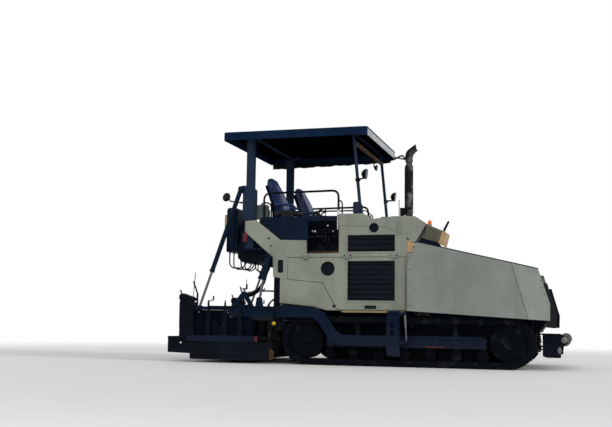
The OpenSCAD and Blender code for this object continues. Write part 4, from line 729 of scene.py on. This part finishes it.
# %% Bolts and edgings
def bolts(places, r=0.01, axis=OUT):
    """Hexagon heads of radius r, 0.92 r thick with a chamfer, on washers of 1.45 r, along an axis."""
    washer = [(0, -0.003), (1.45 * r, -0.003), (1.45 * r, 0.15 * r), (1.3 * r, 0.24 * r), (0, 0.24 * r)]
    head = [(0, 0), (r, 0), (r, 0.75 * r), (0.86 * r, 0.92 * r), (0, 0.92 * r)]
    return [turned(profile, at, axis, sides) for at in places for profile, sides in ((washer, 16), (head, 6))]


def at_side(y, xs, zs):
    """Places at the level y, at every x with every z."""
    return [(x, y, z) for x in xs for z in zs]


def edging(x0, x1, z0, z1, width, y0, y1, r):
    """Rectangular frame of a flat strip: the outer and the inner rounded rectangle at y0 and y1, joined in a loop."""
    centre, half = np.array([(x0 + x1) / 2, 0, (z0 + z1) / 2]), np.array([(x1 - x0) / 2, (z1 - z0) / 2])
    rings = []
    for grow, y in ((width, y0), (width, y1), (0, y1), (0, y0)):
        ring = rounded_ring(*(half + grow), r + grow, 5)
        rings.append(np.stack([ring[:, 0], np.full(len(ring), y), ring[:, 1]], 1) + centre)
    return skin(np.array(rings), loop=True)


print("bolt has", sum(len(f) for _, f in bolts([(0, 0, 0)])), "faces")

# %% [markdown]
# ## Side of the body
# The side carries two louvred openings with folded edges, round vents with a raised rim, doors that
# hang from three hinges and close with one sunken catch each, and a tan strip along the sill. The
# catch turns with its door, so it rides the door's body.

# %% Side of the body
SIDE_Y, HINGE_X = -1.15, (-0.87, -0.181, 0.56)
CATCH = np.array([-0.393, SIDE_Y, 0.931])

pair("upper_grille_edging", [edging(-0.18, 0.58, 1.79, 2.052, 0.022, SIDE_Y - 0.006, SIDE_Y + 0.012, 0.012)],
     body_enamel, bevel=0.002)
handed("lower_grille_edging", [edging(-0.18, 0.58, 1.02, 1.64, 0.024, SIDE_Y - 0.006, SIDE_Y + 0.012, 0.012)],
       body_enamel, "door", bevel=0.002)
for name, body, x, z, r in (("upper", None, 0.243, 2.165, 0.062), ("lower", "door", -0.505, 1.522, 0.1)):
    rim = [(r - 0.004, -0.012), (r + 0.014, -0.012), (r + 0.016, -0.002), (r + 0.01, 0.007), (r + 0.002, 0.009),
           (r - 0.004, 0.003)]
    handed(name + "_vent_rim", [turned(rim, (x, SIDE_Y, z), count=40, hoop=True)], slat_enamel, body)
catches = [turned([(0, 0.001), (0.015, 0.001), (0.018, 0.004), (0.023, 0.005), (0.025, 0.002), (0.025, -0.004),
                   (0, -0.004)], CATCH, count=28),
           block(CATCH - (0.006, 0.012, 0.015), CATCH + (0.006, -0.002, 0.015), 0.004)]
catches += bolts(at_side(SIDE_Y - 0.005, [x + d for x in HINGE_X for d in (-0.02, 0.02)], [1.668]), 0.007)
handed("door_catches", catches, black_enamel, "door")
pad = [sheet(0.104, 0.28, 0.896, 0.934, SIDE_Y - 0.002, SIDE_Y + 0.008)]
pad += [block((x, SIDE_Y - 0.006, 0.9), (x + 0.02, SIDE_Y - 0.001, 0.93), 0.003) for x in 0.112 + 0.034 * np.arange(5)]
handed("foot_slot_pad", pad, flap_rubber, "door")
sill = [curved_block([(x, 0.846) for x in (-0.285, 0.0, 0.4, 0.735)], 0.005, 0.015, SIDE_Y + 0.018, 24)]
sill += bolts(at_side(SIDE_Y + 0.013, np.linspace(-0.2, 0.66, 5), [0.846]), 0.006)
pair("sill_strips", sill, tan_enamel)
plugs = [turned([(0, -0.022), (r - 0.001, -0.022), (r + 0.003, 0.001), (r * 0.6, 0.004), (0, 0.005)], (x, SIDE_Y, z))
         for x, z, r in ((-1.502, 2.02, 0.016), (-1.465, 1.894, 0.012), (-1.585, 2.255, 0.01), (-0.9, 2.245, 0.009))]
pair("side_plugs", plugs, desk_plastic)
leaves = at_side(SIDE_Y - 0.005, [x + d for x in HINGE_X for d in (-0.052, 0.052)], [1.727])
pair("hinge_bolts", bolts(leaves, 0.007), black_enamel)
pair("slot_lips", [edging(-1.33, -1.261, 1.468, 1.656, 0.01, SIDE_Y - 0.003, SIDE_Y + 0.02, 0.014)], slat_enamel)

# %% [markdown]
# ## Lamps and lenses
# Head lamps have a slightly domed glass in a black shell. The tail lamp and the reflectors are
# moulded polycarbonate with a fine prism pattern, drawn as cells of 8 mm, because the real 2 mm
# cells would vanish at this distance.

# %% Lamps and lenses
LAMP_AIM = (math.sin(math.radians(98)), 0, math.cos(math.radians(98)))  # 8 degrees below level
dome = np.array([(0, 0.3), (0.87, 0.3), (0.87, 0.36), (0.7, 0.44), (0.4, 0.49), (0, 0.51)])
glasses = [turned(dome * r, at, LAMP_AIM, 32) for *at, r in (
    (0.086, -1.151, 3.029, 0.084), (0.104, 1.151, 2.966, 0.084), (-0.04, 0.3, 3.369, 0.052))]
piece("lamp_glasses", glasses, smoked_glass)
pair("tail_lamp_lenses", [block((-1.955, -1.158, 1.962), (-1.876, -1.146, 2.114), 0.006)], red_lens)
marker = turned([(0, -0.001), (0.02, -0.001), (0.02, 0.004), (0.014, 0.007), (0, 0.008)], (-2.014, -1.085, 2.625))
piece("small_red_marker", [marker], red_lens)
stem = np.array([(x, -1.08, 2.625) for x in (-1.968, -1.99, -2.014)])
piece("marker_stem", [carried(stem, 0.006, count=10)], black_enamel)
shell = turned([(0, 0.018), (0.067, 0.018), (0.067, 0.024), (0.06, 0.036), (0.044, 0.046), (0.022, 0.051),
                (0, 0.052)], (-2.271, -1.09, 2.717), (-0.24, -0.96, 0.139), 36)
piece("work_lamp_shell", [shell], desk_plastic)
handed("beam_reflector", [block((-1.676, -1.29, 0.348), (-1.622, -1.28, 0.428), 0.003)], red_lens, "extension")

# %% [markdown]
# ## Running gear and main frame
# The sprocket's hub carries a ring of bolts, the rollers have grease plugs, and the track frame's
# side plate is bolted on. The push rollers' journals end in pale caps.

# %% Running gear
AXLE_Z, JOURNAL = 0.385, np.array([3.108, -0.97, 0.455])
hubs = bolts(at_side(-1.096, np.linspace(1.915, -0.47, 7), [0.185]), 0.013)
for x, ring in ((-0.87, 0.185), (2.315, 0.15)):
    hubs += bolts((x, -1.0985, AXLE_Z) + ring * circle((1, 0, 0), (0, 0, 1), 12), 0.011)
    hubs.append(turned([(0, -0.002), (0.04, -0.002), (0.04, 0.004), (0.032, 0.008), (0, 0.008)],
                       (x, -1.1185, AXLE_Z), count=24))
pair("track_wheel_bolts", hubs, cast_track_steel)
guards = [block((-0.52, -0.814, 0.078), (1.99, -0.802, 0.33), 0.004)]
pair("roller_guards", guards + bolts(at_side(-0.814, np.linspace(-0.4, 1.85, 8), [0.3])), black_enamel)
pair("track_frame_bolts", bolts(at_side(-1.0815, np.linspace(-0.4, 1.85, 12), [0.318])), navy_enamel)
pair("track_frame_mark", [block((1.035, -1.0855, 0.306), (1.338, -1.0805, 0.326), 0.002)], red_lens)
caps = [turned([(0, -0.002), (0.046, -0.002), (0.05, 0.002), (0.046, 0.01), (0.028, 0.014), (0.024, 0.02),
                (0, 0.022)], JOURNAL, count=32)]
caps += bolts([JOURNAL + (0.037 * math.cos(a), -0.009, 0.037 * math.sin(a)) for a in (0.8, 2.4, 3.9, 5.5)], 0.005)
oval, faces = turned([(0, -0.002), (0.03, -0.002), (0.03, 0.004), (0.026, 0.01), (0, 0.01)], (0, 0, 0), count=28)
caps.append((oval * (1, 1, 1.75) + (3.035, -0.97, 0.3), faces))
pair("push_roller_caps", caps, pale_steel, body="push_beam")
beam_bolts = [(2.84, -0.97, 0.3), (2.84, -0.97, 0.42), (2.98, -0.97, 0.24)]
pair("push_beam_bolts", bolts(beam_bolts, 0.014), black_enamel, body="push_beam")
guide_bolts = at_side(-1.263, (0.49, 0.64), (0.22, 0.74)) + [(0.565, -1.263, 0.66)]
pair("tow_guide_bolts", bolts(guide_bolts, 0.012), navy_enamel)

# %% [markdown]
# ## Hopper trims
# A dark tube in the black rubber finish runs along the wing's top edge, a darker tube down the crease is painted shade,
# and carriage bolts hold the front flap behind the plate. All move with their wings.

# %% Hopper trims
WING_Y, BEND = 1.235, 0.22
CREASE = np.array([[2.37, 1.596], [2.601, 0.754]])


def on_wing(points, out=0.0):
    """Points (x, z) on the wing's outer face: y = -WING_Y + BEND times the distance ahead of the crease."""
    p = np.array(points, float)
    d = unit(CREASE[1] - CREASE[0])
    v = p - CREASE[0]
    return np.stack([p[:, 0], BEND * np.maximum(0, v[:, 1] * d[0] - v[:, 0] * d[1]) - WING_Y - out, p[:, 1]], 1)


top = on_wing(np.concatenate([np.linspace((0.936, 1.925), (2.37, 1.596), 30),
                              np.linspace((2.39, 1.592), (2.748, 1.51), 8)]), -0.004)
handed("wing_edge", [carried(top + (0, 0, 0.003), 0.0085, count=10)], flap_rubber, "wing")
# Painted shade: a darker olive tube down the crease of the wing
crease_shade_path = on_wing(np.linspace((2.366, 1.59), (2.6, 0.765), 30))
handed("wing_crease_shade_line", [carried(crease_shade_path, 0.0045, count=8)], louvre_enamel, "wing", slot="black_steel")
flap_row = on_wing(np.linspace((2.79, 1.34), (2.872, 1.02), 4), 0.001)
handed("flap_bolts", bolts(flap_row, 0.009), wing_enamel, "wing", slot="black_steel")
handed("wing_bolts", bolts(on_wing([(0.835, z) for z in (1.5, 1.3, 1.1, 0.95)])), wing_enamel, "wing")

# %% [markdown]
# ## Intake, exhaust and rear cabinet
# The air intake ends in a tan sheet block with a louvred face. The exhaust has a heat shield, three
# clamps, and an elbow of thin sheet. The rear cabinet has a framed door with a bar handle, and a
# bolted plate covers each corner post.

# %% Intake, exhaust and rear cabinet
STACK_Y = 0.95
pair("body_corner_plate", [plate([(0.767, 1.772), (0.872, 1.772), (0.872, 1.968), (0.767, 1.972)], -1.14, -1.133)],
     tan_enamel, bevel=0.002)
pair("body_corner_gusset", [plate([(0.767, 1.56), (0.836, 1.6), (0.868, 1.766), (0.767, 1.766)], -1.14, -1.133)],
     body_enamel, bevel=0.002)
blades = [plate([(1.033, 2.014), (1.071, 2.208), (1.317, 2.104), (1.254, 1.924), (0.99, 2.001)], -1.1235, -1.1185)]
blades += [curved_block([(x - 0.32 * fall, z - fall) for x, z in ((1.068, 2.2), (1.19, 2.15), (1.308, 2.1))],
                        0.006, 0.008, -1.1245, 14) for fall in 0.012 + 0.03 * np.arange(6)]
piece("intake_louvres", blades, louvre_enamel)
tan_end = [plate([(1.322, 2.11), (1.368, 2.073), (1.316, 1.874), (1.256, 1.913)], -1.1285, -1.1225),
           plate([(1.323, 2.116), (1.371, 2.078), (1.367, 2.072), (1.319, 2.11)], -1.126, -0.652),
           plate([(1.365, 2.076), (1.371, 2.074), (1.319, 1.873), (1.313, 1.875)], -1.126, -0.652)]
piece("intake_end_cover", tan_end, tan_enamel, bevel=0.002)
clamps = []
for z, r in ((2.66, 0.069), (3.48, 0.064), (3.585, 0.048)):
    band = [(r, -0.014), (r + 0.009, -0.012), (r + 0.009, 0.012), (r, 0.014), (r - 0.006, 0)]
    clamps.append(turned(band, (0.43, STACK_Y, z), UP, 40, hoop=True))
    clamps += bolts([(0.43 - r - 0.012, STACK_Y, z)], 0.008, (-1, 0, 0))
piece("exhaust_clamps", clamps, sooty_steel)
rear, front = (smooth_path([(x, STACK_Y, z) for x, z in edge], 18)[:, None] for edge in (
    ((0.364, 3.56), (0.358, 3.66), (0.392, 3.77), (0.548, 3.888)),
    ((0.496, 3.56), (0.5, 3.655), (0.52, 3.712), (0.556, 3.764))))
middle, section = (rear + front) / 2, circle((front - rear) / 2, (0, 0.064, 0), 28)
mantle = np.concatenate([middle + section, (middle + 0.93 * section)[:3:-1]])
piece("exhaust_elbow_shell", [skin(mantle)], sooty_steel)
shield = turned([(0.069, 0), (0.078, 0.003), (0.078, 0.33), (0.0765, 0.334), (0.078, 0.338), (0.078, 0.752),
                 (0.066, 0.756)], (0.426, STACK_Y, 2.702), UP, 40)
piece("exhaust_heat_shield", [shield], sooty_steel)
stay = [(0.15, 1.02, 3.64), (0.23, 0.99, 3.672), (0.296, 0.966, 3.69), (0.33, 0.955, 3.662), (0.362, 0.95, 3.622)]
piece("exhaust_stay", [tube(stay, 0.015, 22)], sooty_steel)
cabinet = [edging(-2.27, -2.165, 1.86, 2.43, 0.006, -1.0145, -1.008, 0.01),
           curved_block([(-2.15, 2.02), (-2.14, 2.03), (-2.14, 2.12), (-2.15, 2.13)], 0.007, 0.007, -1.02, 20)]
piece("cabinet_trim", cabinet + bolts(at_side(-1.01, (-2.135, -2.285), (1.86, 2.47)), 0.007), black_enamel)
piece("cabinet_side_plate", [sheet(-2.333, -2.296, 2.152, 2.432, -1.0035, -0.9985)], tan_enamel)
posts = [plate([(-1.413, 0.9), (-1.303, 0.9), (-1.303, 1.37), (-1.413, 1.39)], -1.1145, -1.1095)]
pair("corner_post_covers", posts + bolts(at_side(-1.1145, [-1.358], (0.96, 1.14, 1.32)), 0.011), black_enamel)
saddle = [(-1.66 + 0.055 * math.sin(a), -1.0, 1.225 - 0.055 * math.cos(a)) for a in np.linspace(-1.3, 1.3, 16)]
guide = [tube([(-1.41, -1.0, 1.165), (-1.52, -1.0, 1.167), (-1.65, -1.0, 1.168)], 0.013, 16),
         turned([(0, -0.004), (0.03, -0.004), (0.03, 0.006), (0, 0.006)], (-1.415, -1.0, 1.165), (-1, 0, 0)),
         carried(np.array(saddle), 0.011)]
pair("hose_guide_arm", guide, black_enamel)

# %% [markdown]
# ## Platform details
# In the step recess sits the valve block of the hydraulics, with bright plugs and steel pipes. The
# handrail's front leg has a pale sleeve. A grey polycarbonate panel stands at the operator's side.

# %% Platform details
valves = [block((-0.79, -0.952, 2.095), (-0.5, -0.898, 2.205), 0.008),
          block((-0.77, -0.944, 2.205), (-0.64, -0.898, 2.262), 0.006)]
valves += [turned([(0, 0), (0.02, 0), (0.02, 0.014), (0.016, 0.02), (0, 0.02)], (x, -0.95, 2.15), count=18)
           for x in -0.755 + 0.054 * np.arange(5)]
pair("valve_block", valves, black_enamel, bevel=0.002)
plugs = [turned([(0, 0), (0.017, 0), (0.019, 0.004), (0.017, 0.012), (0.01, 0.018), (0, 0.019)], at) for at in (
    (-0.829, -0.899, 2.149), (-0.772, -0.958, 2.142), (-0.492, -0.899, 2.144), (-0.56, -0.958, 2.232))]
pair("bright_plugs", plugs, white_sleeve)
pipes = [tube([(x, -0.925, 2.098), (x, -0.925, 2.06), (x - 0.01, -0.918, 1.98), (x - 0.03, -0.914, 1.88),
               (x - 0.03, -0.914, 1.796)], 0.008, 22) for x in -0.735 + 0.062 * np.arange(4)]
pair("recess_pipes", pipes, scoured_steel)
toe = plate([(-0.858, 1.775), (-0.352, 1.775), (-0.352, 1.812), (-0.858, 1.806)], -1.0805, -1.0745)
pair("rusty_toe_plates", [toe], rusty_enamel)
sleeves = [turned([(0.0185, 0), (0.0225, 0.002), (0.0225, 0.084), (0.0185, 0.086)], (-0.3502, -1.095, 2.376), UP, 24),
           tube([(-0.352, -1.123, 2.362), (-0.352, -1.124, 2.3), (-0.352, -1.124, 2.2), (-0.352, -1.123, 2.15)],
                0.0125, 20)]
pair("rail_sleeves", sleeves, white_sleeve)
clips = [block((-0.374, -1.135, z), (-0.33, -1.106, z + 0.014), 0.004) for z in (2.17, 2.32)]
pair("rail_sleeve_clips", clips, black_enamel)
panel = [(-1.77, 2.345), (-1.565, 2.345), (-1.545, 2.37), (-1.545, 2.55), (-1.57, 2.575), (-1.77, 2.575)]
piece("side_wind_panel", [plate(panel, -1.056, -1.0515)], panel_plastic)
panel_edge = [carried(np.array([(x, -1.054, z) for x, z in panel]), 0.006, count=8)]
piece("side_panel_edge", panel_edge + bolts(at_side(-1.056, [-1.66], (2.37, 2.5)), 0.007), flap_rubber)
side_console = [curved_block([(-1.47, 2.42), (-1.33, 2.446), (-1.15, 2.446), (-1.0, 2.418)], 0.05, 0.046, -0.965, 40),
                block((-1.33, -1.056, 2.33), (-1.12, -0.93, 2.42), 0.012)]
piece("side_armrest_console", side_console, desk_plastic)
desk = [turned([(0, 0), (0.01, 0), (0.01, 0.006), (0.007, 0.009), (0, 0.009)],
               (-0.66 - 0.026 * k, -0.09, 2.376 + 0.006 * k), (0.28, 0, 0.96), 16) for k in range(6)]
desk += [tube([(-0.7, 0.1, 2.37), (-0.715, 0.1, 2.43), (-0.725, 0.1, 2.49)], 0.007, 14),
         turned([(0, -0.018), (0.012, -0.014), (0.018, 0), (0.016, 0.012), (0.008, 0.019), (0, 0.02)],
                (-0.727, 0.1, 2.502), UP)]
desks = moved(desk, (0, -SEAT_Y, 0)) + moved(desk, (0, SEAT_Y, 0))
piece("desk_controls", desks, piping_vinyl, slot="black_plastic")

# %% [markdown]
# ## Canopy details
# The canopy's lower edge has a rolled bead and a strip against the rain, the cross bar below the
# front shows rust, and bolts with large washers hold the roof on its posts.

# %% Canopy details
BEAD_Z = 3.6535
t = np.linspace(0, 1, 60)
low = 3.56 + 0.055 * t + 0.006 * np.sin(37 * t) + 0.004 * np.sin(83 * t + 1)
high = np.full(60, 3.664)
strip = [np.stack([-2.255 + 2.29 * t, np.full(60, y), z], 1)
         for y, z in ((1.239, low), (1.239, high), (1.245, high), (1.245, low))]
piece("canopy_rain_strip", [skin(np.stack(strip, 1))], flap_rubber, smooth=False)
bar = turned([(0.0305, -1.04), (0.0335, -1.038), (0.0335, 1.038), (0.0305, 1.04)], (-0.097, 0, 3.566), (0, 1, 0), 24)
piece("roof_bar_sleeve", [bar], rusty_enamel)
bead = [carried(np.linspace((x0, y0, BEAD_Z), (x1, y1, BEAD_Z), 12), 0.0055, UP, 8) for x0, y0, x1, y1 in (
    (-2.27, -1.2485, 0.04, -1.2485), (0.1285, -1.155, 0.1285, 1.155), (-2.2885, -1.23, -2.2885, 1.23),
    (-2.27, 1.2485, 0.04, 1.2485))]
piece("canopy_bead", bead, roof_enamel)
piece("canopy_front_band", [sheet(0.1295, 0.1325, 3.662, 3.772, -1.15, 1.15)], pale_enamel, bevel=0.001)
roof_bolts = [(x, y, 3.7995) for x in (-2.12, -1.6, -0.9, -0.3) for y in (-0.98, 0.98)]
piece("roof_bolts", bolts(roof_bolts, 0.014, UP), roof_enamel)
plugs = [turned([(0, 0), (0.022, 0), (0.022, 0.004), (0, 0.006)], (0.098, y, 3.715), (-1, 0, 0)) for y in (0.7, 0.86)]
piece("roof_plugs", plugs, white_sleeve)

# %% [markdown]
# ## Screed details
# The screed's cover plates are bolted down, the end gate's long beam shows a cleaner navy face, the
# small hand knobs are yellow, and a rusty wedge of plate leads the end gate over the old surface.

# %% Screed details
pair("screed_gap_plates", [sheet(-2.149, -2.095, 0.43, 0.722, -1.15, -1.143)], black_enamel, body="screed")
pair("arm_seal_strips", [block((-2.64, -1.236, 0.8485), (-2.151, -1.1, 0.858), 0.001)], flap_rubber, body="screed")
covers = [(x, 0.43 * k + d, 0.79) for k in range(-2, 3) for x in (-2.01, -1.862) for d in (-0.17, 0, 0.17)]
piece("screed_cover_bolts", bolts(covers, 0.011, UP), screed_enamel, body="screed")
arm_bolts = at_side(-1.238, (-1.9, -1.62, -1.33), [0.83]) + [(-2.08, -1.238, 0.86)]
pair("tow_arm_bolts", bolts(arm_bolts, 0.016), navy_enamel, body="screed")
beam_face = plate([(-2.852, 0.342), (-1.69, 0.338), (-1.69, 0.434), (-2.852, 0.436)], -1.2855, -1.2825)
handed("beam_face", [beam_face], navy_enamel, "extension", bevel=0.002)
gate_row = at_side(-1.2745, (-2.482, -2.191, -1.93), (0.52, 0.74))
handed("gate_bolts", bolts(gate_row), black_enamel, "extension")
knob = turned([(0, -0.014), (0.026, -0.014), (0.031, -0.006), (0.031, 0.008), (0.024, 0.018), (0.01, 0.022),
               (0, 0.022)], (-1.354, -1.268, 0.643), count=28)
handed("gate_knob", [knob], yellow_knob, "extension")
wedge = plate([(-1.42, 0.066), (-1.375, 0.06), (-1.345, 0.1), (-1.345, 0.205), (-1.42, 0.25)], -1.281, -1.2735)
handed("gate_wedge", [wedge], rusty_enamel, "extension", bevel=0.002)
plug = turned([(0, -0.002), (0.017, -0.002), (0.017, 0.003), (0.013, 0.006), (0, 0.006)], (-2.962, -1.2535, 0.312))
handed("walkway_plug", [plug], white_sleeve, "extension")
fill = [block((-2.99, -1.275, 0.42), (-2.903, -1.15, 0.524), 0.006),
        block((-3.0, -1.252, 0.984), (-2.8, -1.14, 1.03), 0.008),
        sheet(-2.752, -2.7, 0.42, 0.818, -1.15, -1.143),
        block((-2.905, -1.234, 0.42), (-2.74, -1.11, 0.522), 0.008),
        block((-2.752, -1.16, 0.816), (-2.154, -1.132, 0.8465), 0.003)]
handed("stand_foot_and_guard", fill, black_enamel, "extension")
frame_row = at_side(-1.16, (-2.6575, -2.5275, -2.3935, -2.2675), (0.37, 0.74))
handed("side_frame_bolts", bolts(frame_row, 0.009), black_enamel, "extension")

# %% [markdown]
# ## Studio
# The machine stands on a pale floor under a large soft light, with a second one ahead of it as the
# low sun was in the picture. The floor fades to white well away from the machine, so that no
# horizon shows, while the shadow under the tracks stays. A curved backdrop would do the same but
# would cut off the views from behind.

# %% Floor, light and background
WHITE = (1.0, 1.0, 1.0, 1.0)


def studio_floor(half=120.0):
    """A pale floor whose colour turns to pure white from 7 to 16 m away from the machine's middle."""
    material, tree, shader, place = start("pale_studio_floor", Roughness=0.9)
    tone = mixed(tree, noise(tree, place, 3.0, 6.0), "#D2D3D2", "#DADBDA")
    reach = add(tree, "VectorMath", {0: place}, operation="LENGTH").outputs["Value"]
    far = add(tree, "MapRange", {"Value": reach, "From Min": 7.0, "From Max": 16.0},
              interpolation_type="SMOOTHSTEP").outputs[0]
    ray = add(tree, "LightPath").outputs
    share = maths(tree, "MULTIPLY", far, maths(tree, "MAXIMUM", ray["Is Camera Ray"], ray["Is Glossy Ray"]))
    white = add(tree, "Emission", {"Color": WHITE, "Strength": 1.0}).outputs[0]
    both = add(tree, "MixShader", {0: share, 1: shader.outputs[0], 2: white}).outputs[0]
    tree.links.new(both, tree.nodes["Material Output"].inputs["Surface"])
    corners = half * np.array([[-1, -1, 0], [1, -1, 0], [1, 1, 0], [-1, 1, 0]])
    linked("floor", meshed("floor", corners, [[0, 1, 2, 3]], close(material, tree, shader, Base_Color=tone)))


def sun(name, towards, strength, spread, colour=WHITE[:3]):
    """A distant soft lamp that shines from the direction towards, spread over an angle in degrees."""
    lamp = bpy.data.lights.new(name, "SUN")
    lamp.energy, lamp.angle, lamp.color = strength, math.radians(spread), colour
    back = unit(towards)
    side = unit(np.cross(UP, back))
    turn = np.eye(4)
    turn[:3, :3] = np.array([side, np.cross(back, side), back]).T
    linked(name, lamp, turn)


studio_floor()
sun("soft_key", (0.25, -0.9, 0.75), 0.9, 60.0)
sun("low_front_light", (1.0, -0.12, 0.42), 1.5, 14.0, (1.0, 0.94, 0.84))
world = bpy.data.worlds.new("studio")
bpy.context.scene.world = world
world.use_nodes = True
sky = world.node_tree
sky.nodes.clear()
ray = add(sky, "LightPath").outputs
seen = maths(sky, "MAXIMUM", ray["Is Camera Ray"], ray["Is Glossy Ray"])
seen = maths(sky, "MAXIMUM", seen, ray["Is Transmission Ray"])
soft = add(sky, "Background", {"Color": (0.96, 0.98, 1.0, 1.0), "Strength": 0.62}).outputs[0]
plain = add(sky, "Background", {"Color": WHITE, "Strength": 1.0}).outputs[0]
add(sky, "OutputWorld", {"Surface": add(sky, "MixShader", {0: seen, 1: soft, 2: plain}).outputs[0]})
bpy.context.scene.view_settings.view_transform = "Standard"
